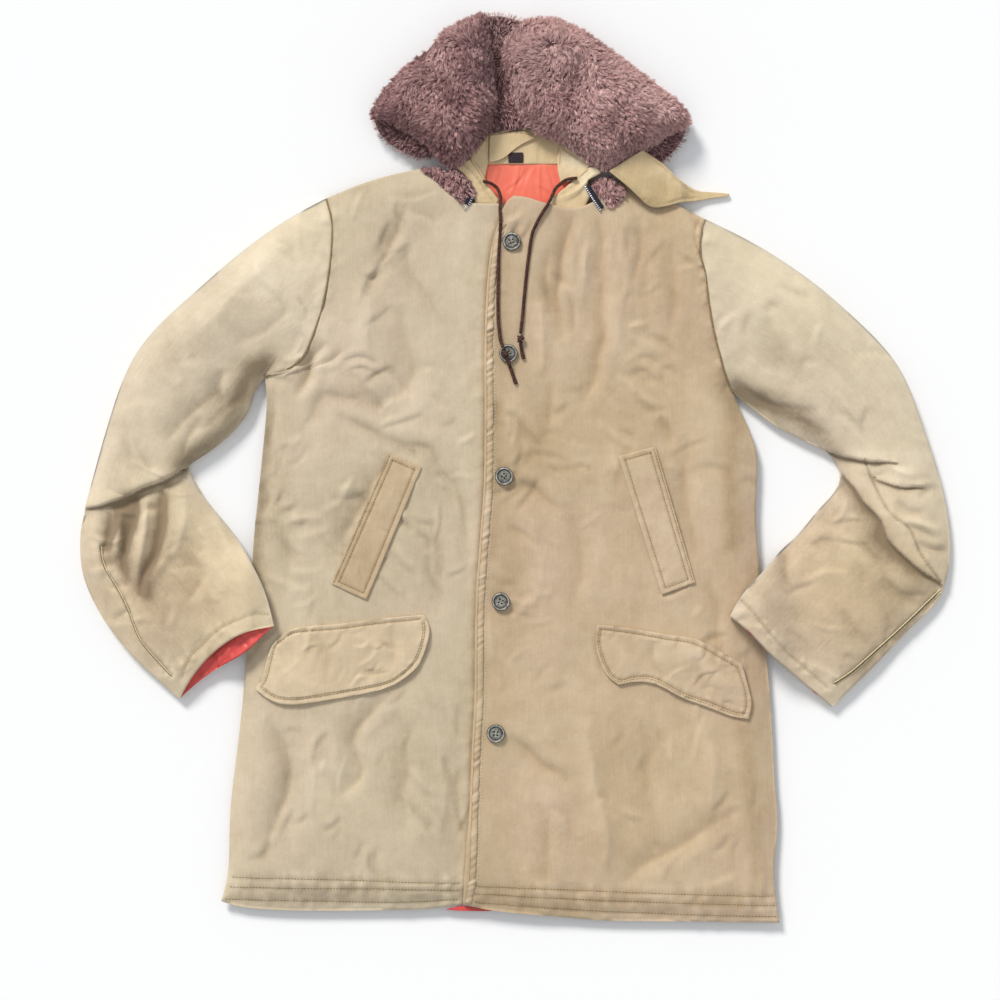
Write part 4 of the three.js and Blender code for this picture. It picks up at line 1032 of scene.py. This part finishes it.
def flowAt(places):
    flow = np.zeros((len(places), 2))
    for x, y, turn in pileFlow:
        weight = 1 / ((places[:, 0] - x) ** 2 + (places[:, 1] - y) ** 2 + 150)
        flow += weight[:, None] * np.array([math.cos(math.radians(turn)), math.sin(math.radians(turn))])
    swirl = softNoise(places[:, 0], places[:, 1], 26, 77) * 1.1
    flow /= np.linalg.norm(flow, axis=1)[:, None] + 1e-9
    c, s = np.cos(swirl), np.sin(swirl)
    return np.column_stack([flow[:, 0] * c - flow[:, 1] * s, flow[:, 0] * s + flow[:, 1] * c, np.zeros(len(places))])


hoodLumps = ((38, 4), (17, 1.6))  # the size and height of the pile's lumps


def pileGround(name, node, sink, hollows=()):
    obj = fineCopy(name, node, 2, 0.25)
    mesh = obj.data
    places, normals = placesOf(mesh), normalsOf(mesh)
    low = places[:, 2].min()
    x, y, z = places.T
    ease = np.clip((z - low) / 14, 0, 1)
    places -= normals * (sink * ease)[:, None]
    lift = sum(height * softNoise(x, y, size, 90 + k) for k, (size, height) in enumerate(hoodLumps))
    lift = np.minimum(lift, 1.5) + foldField(hollows, x, y)[0]
    places[:, 2] = np.maximum(places[:, 2] + lift * ease * np.clip(normals[:, 2], 0, 1), low)
    setPlaces(mesh, places)
    setAttribute(mesh, "tone", np.full(len(places), -0.2))
    finishPiece(obj, "pileGround", "hood_pile", node)
    return obj


def lockMesh():
    # one lock of pile: a slim leaf, folded a little across its middle
    bm = bmesh.new()
    root, left, right, tip = [bm.verts.new(place) for place in ((0, 0, 0), (-1, 0, 0.45), (1, 0, 0.45), (0, 0, 1))]
    bm.faces.new((root, right, left))
    bm.faces.new((left, right, tip))
    return bm


def growPile(name, grounds, count, seed, shade, long=1.0, keep=None):
    rng = np.random.default_rng(seed)
    corners, slants = [], []
    for ground in grounds:
        mesh = ground.data
        mesh.calc_loop_triangles()
        index = readRows(mesh.loop_triangles, "vertices", int)
        corners.append(placesOf(mesh)[index])
        slants.append(normalsOf(mesh)[index])
    corners, slants = np.concatenate(corners), np.concatenate(slants)
    area = np.linalg.norm(np.cross(corners[:, 1] - corners[:, 0], corners[:, 2] - corners[:, 0]), axis=1) / 2
    area = area * (slants[:, :, 2].mean(axis=1) > -0.25)
    if keep is not None:
        area = area * keep(corners.mean(axis=1))
    pick = rng.choice(len(area), count, p=area / area.sum())
    u, v = rng.random(count), rng.random(count)
    u, v = np.where(u + v > 1, 1 - u, u), np.where(u + v > 1, 1 - v, v)
    share = np.column_stack([1 - u - v, u, v])[:, :, None]
    roots = (corners[pick] * share).sum(axis=1)
    normals = (slants[pick] * share).sum(axis=1)
    normals /= np.linalg.norm(normals, axis=1)[:, None] + 1e-9
    tufts = max(4, int(area.sum() / hoodPiece["tuft"] ** 2))
    centres = rng.choice(count, min(tufts, count // 3), replace=False)
    tree = KDTree(len(centres))
    for k, c in enumerate(centres):
        tree.insert(Vector(roots[c]), k)
    tree.balance()
    owner = np.array([tree.find(Vector(p))[1] for p in roots])
    lean = flowAt(roots)
    tuftTurn = rng.normal(0, pileSpread["tuftTurn"], (len(centres), 3))
    tuftLong = rng.uniform(0.75, 1.15, len(centres))
    tuftTone = rng.normal(0, pileSpread["tuftTone"], len(centres))
    heading = normals * hoodPiece["stand"] + lean + tuftTurn[owner] + rng.normal(0, pileSpread["lockTurn"], (count, 3))
    heading = unit(heading)
    size = hoodPiece["lock"] * long * tuftLong[owner] * rng.uniform(0.8, 1.1, count)
    tips = roots + heading * size[:, None]
    centreTips = roots[centres] + (heading * size[:, None])[centres]
    tips = tips * (1 - hoodPiece["gather"]) + centreTips[owner] * hoodPiece["gather"]
    bend = roots + (normals * 0.62 + heading * 0.3) * size[:, None] * 0.62
    bm = lockMesh()
    shape = smallMesh(bm)
    side = unit(np.cross(heading, normals + rng.normal(0, 0.45, (count, 3))))
    t = shape[:, 2][None, :, None]
    line = roots[:, None] * (1 - t) ** 2 + 2 * bend[:, None] * t * (1 - t) + tips[:, None] * t ** 2
    thick = hoodPiece["thick"] * (0.7 + 0.6 * rng.random(count))[:, None, None]
    placed = line + thick * shape[None, :, 0:1] * side[:, None]
    tone = tuftTone[owner][:, None] + shade(roots)[:, None] + rng.normal(0, pileSpread["lockTone"], count)[:, None]
    part = t[..., 0]
    tone = tone + np.where(part > 0.9, lockTones["tip"], np.where(part > 0.4, lockTones["bend"], lockTones["root"]))
    obj = strew(name, bm, placed, np.clip(tone, -1, 1))
    bm.free()
    finishPiece(obj, "pile", "hood_pile")
    return obj


hollowsRight = [([(58, 425), (68, 465), (86, 505)], 12, -7), ([(112, 392), (122, 425), (140, 458)], 13, -6),
                ([(150, 398), (156, 420), (172, 442)], 11, -4), ([(84, 400), (96, 440), (112, 480)], 12, 3)]
hollowsLeft = [([(-122, 422), (-112, 460), (-92, 494)], 12, -5), ([(-72, 398), (-66, 425), (-56, 452)], 11, -4)]
groundBack = pileGround("hoodGroundBack", "hood_back", 4)
groundLeft = pileGround("hoodGroundLeft", "hood_left", 5, hollowsLeft)
groundRight = pileGround("hoodGroundRight", "hood_right", 5, hollowsRight)
groundStrips = [pileGround("hoodGroundStripLeft", "hood_strip_left", 4),
                pileGround("hoodGroundStripRight", "hood_strip_right", 4)]
# painted light: the right lobe's pile is lighter than the left's; the back pile is painted dark down in the valley, as
# shade, and light at its top, where the lobes' shadow falls
growPile("pileLeft", [groundLeft], 53000, 21, lambda p: -0.04 + 0.24 * softNoise(p[:, 0], p[:, 1], 30, 5))
growPile("pileRight", [groundRight], 61000, 22, lambda p: 0.3 + 0.26 * softNoise(p[:, 0], p[:, 1], 34, 6))
growPile("pileBack", [groundBack], 16000, 23, lambda p: -0.1 + 0.7 * np.clip((p[:, 1] - 495) / 30, 0, 1), 0.85,
         keep=lambda p: (p[:, 2] > 9) * 1.0)
growPile("pileStrips", groundStrips, 11000, 24, lambda p: np.full(len(p), 0.02), 0.8)
plainPiece("hoodShell", "hood_shell", 1, 1, ((30, 0.05),), 1, "trim", "shell_cloth")
print("hood made")


# back, neck, collar and throat latch
def softTrim(name, node, voxel, rounds):
    # a trim from a flat solid: evenly meshed, its edges worn round
    obj = link(bpy.data.objects.new(name, meshOf(name, nodeBmesh(node))))
    even = obj.modifiers.new("even", "REMESH")
    even.mode = "VOXEL"
    even.voxel_size = voxel * mm
    worn = obj.modifiers.new("worn", "SMOOTH")
    worn.factor = 0.5
    worn.iterations = rounds
    return settled(obj, name)


back = softTrim("backPanel", "back", 10.5, 2)
dressPanel(back, floor=0, lumps=((60, 0.2), (18, 0.15)), seed=8)
finishPiece(back, "sleeve", "shell_cloth", "back")

neckTrims = [
    # name, node, voxel, rounds of smoothing, folds, seams, small lumps
    ("neckFacing", "neck_facing", 1.1, 2, [([(-22, 366), (0, 382), (22, 394)], 5, 0.9),
                                           ([(30, 368), (30, 384), (34, 396)], 4, -0.7)], [], 0.25),
    ("facingLeft", "facing_left", 0.8, 3, [([(-52, 374), (-42, 364), (-36, 350)], 4, 0.8)],
     seamRows([[(-50, 381), (-37, 396)]], depth=0.5, width=1.5), 0.3),
    ("facingRight", "facing_right", 0.9, 3, [([(60, 380), (70, 372), (76, 358)], 5, 0.8)],
     seamRows([[(57, 386), (63, 381), (88, 365)]], depth=0.7, width=1.6, period=5, reach=4), 0.3),
    ("collarLeft", "collar_left", 0.9, 4, [([(-58, 362), (-44, 344), (-34, 324)], 4, 1.2),
                                           ([(-46, 350), (-36, 336), (-30, 322)], 3, -0.8)],
     seamRows([[(-61, 364), (-47, 350), (-33, 330), (-26, 320)]], depth=0.6, width=1.4, period=5, reach=4), 0.3),
    ("collarRight", "collar_right", 0.9, 4, [([(48, 321), (74, 334), (96, 356)], 4, 1.5),
                                             ([(60, 318), (78, 328), (92, 350)], 4, -1.2)],
     seamRows([[(48, 329), (64, 341), (84, 357)]], depth=0.7, width=1.5, period=5, reach=4), 0.35),
]
neckSeams = [
    [(-33, 399), (-33.5, 382), (-33, 366)], [(54, 388), (54, 376), (53.4, 366)], [(-51, 368), (-43, 357), (-36, 345)],
    [(88, 359), (80, 352), (73, 347)], [(-32, 400.5), (-10, 406), (10, 408.3), (30, 402), (47, 395)],
]
for name, node, voxel, rounds, creases, rows, lump in neckTrims:
    trim = softTrim(name, node, voxel, rounds)
    if name == "collarRight":  # its lower edge goes down under the front
        places = placesOf(trim.data)
        low = np.clip((326 - places[:, 1]) / 8, 0, 1) * np.clip((places[:, 0] - 34) / 6, 0, 1)
        places[:, 1] -= 5 * low
        places[:, 0] += 9 * np.clip((places[:, 0] - 66) / 14, 0, 1) * np.clip((346 - places[:, 1]) / 14, 0, 1)
        setPlaces(trim.data, places)
    # the patches paint light onto the right facing and the collar's lower right, where the hood and collar cast shade,
    # and a little onto the left facing
    dressPanel(trim, creases, rows, lumps=((12, lump), (5, lump * 0.6)), seed=len(name), floor=0,
               patches=[(80, 372, 26, 26, 0.7), (-44, 372, 16, 22, 0.1), (90, 338, 12, 14, 0.5)], spread=1.1)
    finishPiece(trim, "trim", "shell_cloth", node)
plainPiece("neckFlap", "neck_flap", 4, 0.6, ((12, 0.5), (6, 0.2)), 15, "trim", "shell_cloth")
neckLining = softTrim("neckLining", "lining_neck", 1.6, 1)
liningFolds = [
    ([(-18, 366), (-22, 352), (-26, 338)], 2, 0.8), ([(4, 365), (2, 348), (-6, 328)], 2, 1.0),
    ([(-12, 334), (4, 346), (16, 364)], 2, -0.9), ([(22, 366), (14, 350), (8, 330)], 2, -0.8),
    ([(31, 366), (29, 344), (31, 322)], 2, 1.0), ([(36, 366), (42, 348), (47, 328)], 2, 0.9),
    ([(48, 364), (52, 348), (58, 334)], 2, -0.8), ([(24, 340), (38, 334), (50, 322)], 2, -0.7),
]
dressPanel(neckLining, liningFolds, lumps=((16, 0.5), (7, 0.25)), floor=0, seed=16, spread=1.1)
finishPiece(neckLining, "lining", "orange_lining", "lining_neck")
plainPiece("hemLining", "lining_hem", 3, 0.6, ((10, 0.4),), 17, "cuffLining", "orange_lining")
plainPiece("neckTab", "neck_tab", 3, 0.8, ((6, 0.2),), 18, "tab", "dark_tab")
latch = fineCopy("throatLatch", "throat_latch", 2, crease=0.5)
latchEdge = {"top": [(156, 378), (175, 364), (192, 350), (206, 338), (217, 331)],
             "low": [(117, 356), (139, 339), (157, 322), (165, 316.5), (174, 317), (188, 320), (200, 324), (216, 326)]}
dressPanel(latch, [([(176, 354), (182, 336), (182, 318)], 8, -1.6), ([(195, 346), (200, 334), (202, 320)], 6, 2.0),
                   ([(150, 370), (152, 350), (148, 328)], 10, 1.0)],
           seamRows(latchEdge.values(), depth=0.6, width=1.6, period=6, reach=5, pucker=0.5),
           lumps=((20, 0.7), (8, 0.3)), floor=0.4, seed=19,
           # a painted highlight near the latch's top edge and painted shade, strongest along its lower edge
           patches=[(176, 356, 14, 10, 0.3), (160, 322, 20, 6, -0.35), (206, 330, 12, 5, -0.3),
                    (140, 352, 14, 14, -0.25)])
finishPiece(latch, "trim", "shell_cloth", "throat_latch")
plainPiece("buttonStand", "button_stand", 1, 1, ((30, 0.05),), 1, "frontRight", "shell_cloth")
print("neck and latch made")

# pockets
flapEdges = {
    "left": {"top": [(-273, -201), (-259, -196.5), (-212, -192.5), (-157, -185.5), (-113, -181)],
             "low": [(-303, -265), (-287, -275), (-263, -277.5), (-212, -270), (-158, -259.5), (-137, -249),
                     (-121, -234), (-112.5, -216), (-108, -197), (-109, -184)],
             "side": [(-304, -263), (-297, -250), (-292, -229), (-287, -213), (-276, -204)]},
    "right": {"top": [(102, -193), (137, -197.5), (184, -205.5), (214, -210.5), (242, -225), (266, -239)],
              "low": [(103, -195), (101.5, -210), (106, -227), (115, -246), (126, -254), (142, -250.5), (162, -250.5),
                      (180, -257.5), (201, -269.5), (233, -281), (261, -292), (275, -295)],
              "side": [(267, -240), (274.5, -263), (277.5, -282), (275, -295)]},
}
flapFolds = {
    "left": [
        ([(-290, -226), (-264, -250), (-236, -262)], 10, 1.8),
        ([(-200, -196), (-164, -214), (-128, -224)], 11, 1.6),
        ([(-236, -198), (-222, -226), (-226, -262)], 9, -2.0),
        ([(-150, -190), (-142, -216), (-148, -244)], 9, -1.8),
    ],
    "right": [
        ([(199, -204), (226, -228), (262, -266)], 11, 2.6),
        ([(118, -204), (130, -224), (150, -244)], 11, 1.6),
        ([(170, -208), (168, -230), (180, -254)], 8, -2.4),
        ([(214, -226), (226, -250), (232, -276)], 8, -2.0),
    ],
}
weltCorners = {
    "left": [(-151, 18), (-112, 1), (-178, -158), (-220, -139)],
    "right": [(168, 26), (124, 14), (176, -152), (216, -137)],
}


def weltRows(corners):
    # rows inside the welt's outer long edge and its ends, and two rows by its inner long edge
    a, b, c, d = [np.array(p, float) for p in corners]
    top, low = (b - a) / np.linalg.norm(b - a), (c - d) / np.linalg.norm(c - d)
    down = (d - a) / np.linalg.norm(d - a)
    return [
        [b - top * 6.5 + down * 6, c - low * 6.5 - down * 6],
        [a + top * 6.5 + down * 6, b - top * 6.5 + down * 6],
        [d + low * 6.5 - down * 6, c - low * 6.5 - down * 6],
        [a + top * 2.2 + down * 2.5, d + low * 2.2 - down * 2.5],
        [a + top * 7.5 + down * 6, d + low * 7.5 - down * 6],
    ]


pocketRows = {}
# boxes in which short creases lie, and how a row of sewing draws the cloth in
weltBoxes = {"left": (-210, -150, -120, 10), "right": (130, -145, 210, 20)}
flapBoxes = {"left": (-290, -268, -115, -190), "right": (110, -285, 270, -200)}
weltSeam = {"depth": 0.9, "width": 1.7, "pucker": 0.5, "period": 6, "reach": 4}
flapSeam = {"depth": 1.1, "width": 1.9, "pucker": 0.9, "period": 7, "reach": 6}
for side, seed in (("left", 31), ("right", 32)):
    rows = [smoothLine([tuple(p) for p in row], 3) for row in weltRows(weltCorners[side])]
    welt = fineCopy(f"welt{side.title()}", f"welt_{side}", 3, crease=0.7)
    dressPanel(welt, strayFolds(seed + 50, 9, weltBoxes[side], 0.5), [{"line": row, **weltSeam} for row in rows],
               lumps=((30, 0.8), (10, 0.4)), floor=0, seed=seed)
    finishPiece(welt, "frontRight", "shell_cloth", f"welt_{side}")
    edges = [smoothLine(flapEdges[side][key], 3) for key in ("top", "low", "side")]
    flap = fineCopy(f"flap{side.title()}", f"flap_{side}", 3, crease=0.7)
    dressPanel(flap, flapFolds[side] + strayFolds(seed + 60, 22, flapBoxes[side], 0.7),
               [{"line": row, **flapSeam} for row in edges], lumps=((34, 1.2), (11, 0.5)), floor=0, seed=seed + 2)
    finishPiece(flap, "pocket" if side == "left" else "frontRight", "shell_cloth", f"flap_{side}")
    pocketRows[side] = rows + edges + [moved(edge, 2.4 if side == "left" else -2.4) for edge in edges[1:2]]
print("pockets made")

# buttons
buttonPiece = {"radius": 11, "thick": 3.6, "holes": 2.7, "holeRadius": 1.1, "turn": 0.3}
buttonPlaces = [(-4, 271), (-8, 137), (-13, -10), (-17, -160), (-23, -318)]
# how dark the button is painted at shares of its radius: painted shade at its edge and in the groove inside its rim, a
# painted highlight on the rim
buttonShadeRings = [(0, 0.1), (0.3, 0.1), (0.58, 0.05), (0.68, -0.5), (0.75, -0.6), (0.82, 0.4), (0.9, 0.4), (0.95, -0.4),
               (1, -0.8)]


def buttonMesh():
    # a turned disc with a raised rim and a sunk middle; its four holes are cut in makeButton
    r, t = buttonPiece["radius"], buttonPiece["thick"]
    profile = [(0, 0.2), (r * 0.8, 0), (r * 0.96, 0.8), (r, 1.6), (r * 0.99, 2.6), (r * 0.94, t - 0.3), (r * 0.88, t),
               (r * 0.8, t - 0.15), (r * 0.74, t - 1.3), (r * 0.68, t - 1.5), (r * 0.6, t - 1.0), (r * 0.3, t - 0.9),
               (0, t - 0.9)]
    bm = bmesh.new()
    verts = [bm.verts.new((x, 0, z)) for x, z in profile]
    edges = [bm.edges.new(pair) for pair in zip(verts, verts[1:])]
    bmesh.ops.spin(bm, geom=verts + edges, cent=(0, 0, 0), axis=(0, 0, 1), angle=2 * math.pi, steps=40,
                   use_merge=True)
    bmesh.ops.remove_doubles(bm, verts=bm.verts, dist=1e-3)
    bmesh.ops.recalc_face_normals(bm, faces=bm.faces)
    return bm


def holePlaces(k, x, y):
    angles = [turn * math.pi / 2 + math.pi / 4 + buttonPiece["turn"] * k for turn in range(4)]
    return [(x + buttonPiece["holes"] * math.cos(a), y + buttonPiece["holes"] * math.sin(a)) for a in angles]


def makeButton(k, x, y):
    node = f"button_{k}"
    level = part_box(node)[0][2] / mm
    bm = buttonMesh()
    bm.transform(Matrix.Scale(mm, 4) @ Matrix.Translation((x, y, level))
                 @ Matrix.Rotation(buttonPiece["turn"] * k, 4, "Z"))
    button = link(bpy.data.objects.new(f"button{k}", meshOf(f"button{k}", bm)))
    cut = bmesh.new()
    for place in holePlaces(k, x, y):
        bmesh.ops.create_cone(cut, cap_ends=True, segments=14, radius1=buttonPiece["holeRadius"] * mm,
                              radius2=buttonPiece["holeRadius"] * mm, depth=10 * mm,
                              matrix=Matrix.Translation(Vector((*place, level + 2)) * mm))
    cutter = link(bpy.data.objects.new("holes", meshOf("holes", cut)))
    drill = button.modifiers.new("holes", "BOOLEAN")
    drill.operation = "DIFFERENCE"
    drill.solver = "EXACT"
    drill.object = cutter
    button.data = shadeSmooth(evaluated(button))
    bpy.data.objects.remove(cutter)
    places = placesOf(button.data)
    radius = np.hypot(places[:, 0] - x, places[:, 1] - y) / buttonPiece["radius"]
    setAttribute(button.data, "tone", np.interp(radius, *zip(*buttonShadeRings)))
    finishPiece(button, "button", "button", node)
    # a twist of thread down in each hole
    twist = np.array([[0, 0, 0.1], [0.15, 0.1, 0.6], [-0.1, 0.15, 1.1]])
    thread = tubesMesh(f"buttonThread{k}", [np.array([*place, level]) + twist for place in holePlaces(k, x, y)], 0.8)
    finishPiece(thread, "darkThread", "shell_cloth")


for k, (x, y) in enumerate(buttonPlaces, 1):
    makeButton(k, x, y)
print("buttons made")


# sewing: rows of short stitches laid on the cloth, their middles raised and their ends drawn in
stitchPiece = {"lift": 0.12, "stray": 0.12, "rise": 0.18, "dip": 0.3, "taper": 0.35}


def stitchMesh():
    bm = bmesh.new()
    bmesh.ops.create_cone(bm, cap_ends=True, segments=5, radius1=1, radius2=1, depth=1,
                          matrix=Matrix.Rotation(math.pi / 2, 4, "Y"))
    bmesh.ops.bisect_plane(bm, geom=bm.verts[:] + bm.edges[:] + bm.faces[:], plane_co=(0, 0, 0), plane_no=(1, 0, 0))
    return bm


def sew(name, rows, tree, material, long=2.7, gap=1.2, thick=0.36):
    rng = np.random.default_rng(1)
    bm = stitchMesh()
    shape = smallMesh(bm)
    placed = []
    for row in rows:
        line = smoothLine(row, long + gap)
        for a, b in zip(line[:-1, :2], line[1:, :2]):
            q = a + (b - a) * long / (long + gap)
            p, q = a + rng.normal(0, stitchPiece["stray"], 2), q + rng.normal(0, stitchPiece["stray"], 2)
            zp, zq = levelOn(tree, *p), levelOn(tree, *q)
            if min(zp, zq) < 2:
                continue
            start, end = np.array([*p, zp + stitchPiece["lift"]]), np.array([*q, zq + stitchPiece["lift"]])
            along = end - start
            size = np.linalg.norm(along)
            along = along / size
            across = np.cross([0, 0, 1.0], along)
            up = np.cross(along, across)
            ends = np.abs(shape[:, 0:1]) > 0.25
            middle = (start + end) / 2 + stitchPiece["rise"] * up
            placed.append(middle + shape[:, 0:1] * size * along - stitchPiece["dip"] * ends * up
                          + thick * (1 - stitchPiece["taper"] * ends) * (shape[:, 1:2] * across
                                                                         + 0.75 * shape[:, 2:3] * up))
    obj = strew(name, bm, np.array(placed))
    bm.free()
    finishPiece(obj, material, "shell_cloth")
    return obj


bodyTree = treeOf("frontLeft", "frontRight", "weltLeft", "weltRight", "flapLeft", "flapRight")
sew("stitchesPlacket", [moved(placketLine, -11.5)], bodyTree, "thread")
sew("stitchesHem", hemRowsLeft + hemRowsRight, bodyTree, "darkThread")
for side in ("left", "right"):
    sew("stitchesPocket" + side.title(), pocketRows[side], bodyTree, "darkThread", long=3.0, gap=0.8, thick=0.3)
sleeveTree = treeOf("sleeveOverLeft", "sleeveOverRight")
sew("stitchesSleeves", [cuffStitch["left"], cuffStitch["right"], sleeveSeams["left"], sleeveSeams["right"]], sleeveTree,
    "thread")
sew("stitchesLatch", list(latchEdge.values()), treeOf("throatLatch"), "thread", long=2.2)
# the sleeves' lower seams: one pale ridge or two, and a dark tube of painted shade beside them
for side, shifts in (("left", (0,)), ("right", (-1.4, 1.6))):
    seam = smoothLine(sleeveSeams[side], 4)
    for k, shift in enumerate(shifts):
        fillSeam(f"sleeveRidge{side.title()}{k}", moved(seam, shift), sleeveTree, 0.75, -0.2, 2.2, "thread")
    fillSeam(f"sleeveShade{side.title()}", moved(seam, -1.3 if side == "left" else 0.1), sleeveTree, 0.6, 0.35, 2.2)
wholeTree = treeOf("frontLeft", "frontRight", "sleeveOverLeft", "sleeveOverRight")
# the armhole seams get tubes in the painted dark of their shade
for side in ("left", "right"):
    fillSeam("armholeFill" + side.title(), armholeOf[side], wholeTree)
neckTree = treeOf("neckFacing", "facingLeft", "facingRight", "collarLeft", "collarRight")
for k, line in enumerate(neckSeams):
    fillSeam(f"neckFill{k}", line, neckTree, 1.1, 0.15, 2.4, "trim")
print("sewing made")


# zip teeth
zipLines = {"Left": [(-53, 331), (-54, 324), (-58, 316), (-62, 312)],
            "Right": [(87, 338), (91, 331), (98, 320), (104, 311)]}
for side, line in zipLines.items():
    plainPiece("zipTape" + side, "zip_" + side.lower(), 2, 0.7, ((6, 0.3),), 1, "tape", "zip_tape")
    teethLine = moved(smoothLine(line, 2.5), 2.6 if side == "Left" else -2.6)
    bm = bmesh.new()
    bmesh.ops.create_cube(bm, size=1)
    bmesh.ops.bevel(bm, geom=bm.edges[:], offset=0.18, offset_type="OFFSET", segments=1, profile=0.5, affect="EDGES",
                    material=-1)
    shape = smallMesh(bm)
    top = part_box("zip_" + side.lower())[1][2] / mm
    heading = unit(np.gradient(teethLine, axis=0))
    across = np.column_stack([-heading[:, 1], heading[:, 0]])
    placed = [np.column_stack([p + shape[:, 0:1] * 1.3 * h + shape[:, 1:2] * 3.0 * c, top + 0.3 + shape[:, 2] * 1.5])
              for p, h, c in zip(teethLine, heading, across)]
    teeth = strew("zipTeeth" + side, bm, np.array(placed))
    bm.free()
    finishPiece(teeth, "teeth", "zip_tape")
growPile("pileZip", [bpy.data.objects["zipTapeLeft"]], 900, 25, lambda p: np.full(len(p), 0.1), 0.8,
         keep=lambda p: (p[:, 1] > 327) * 1.0)
print("zips made")
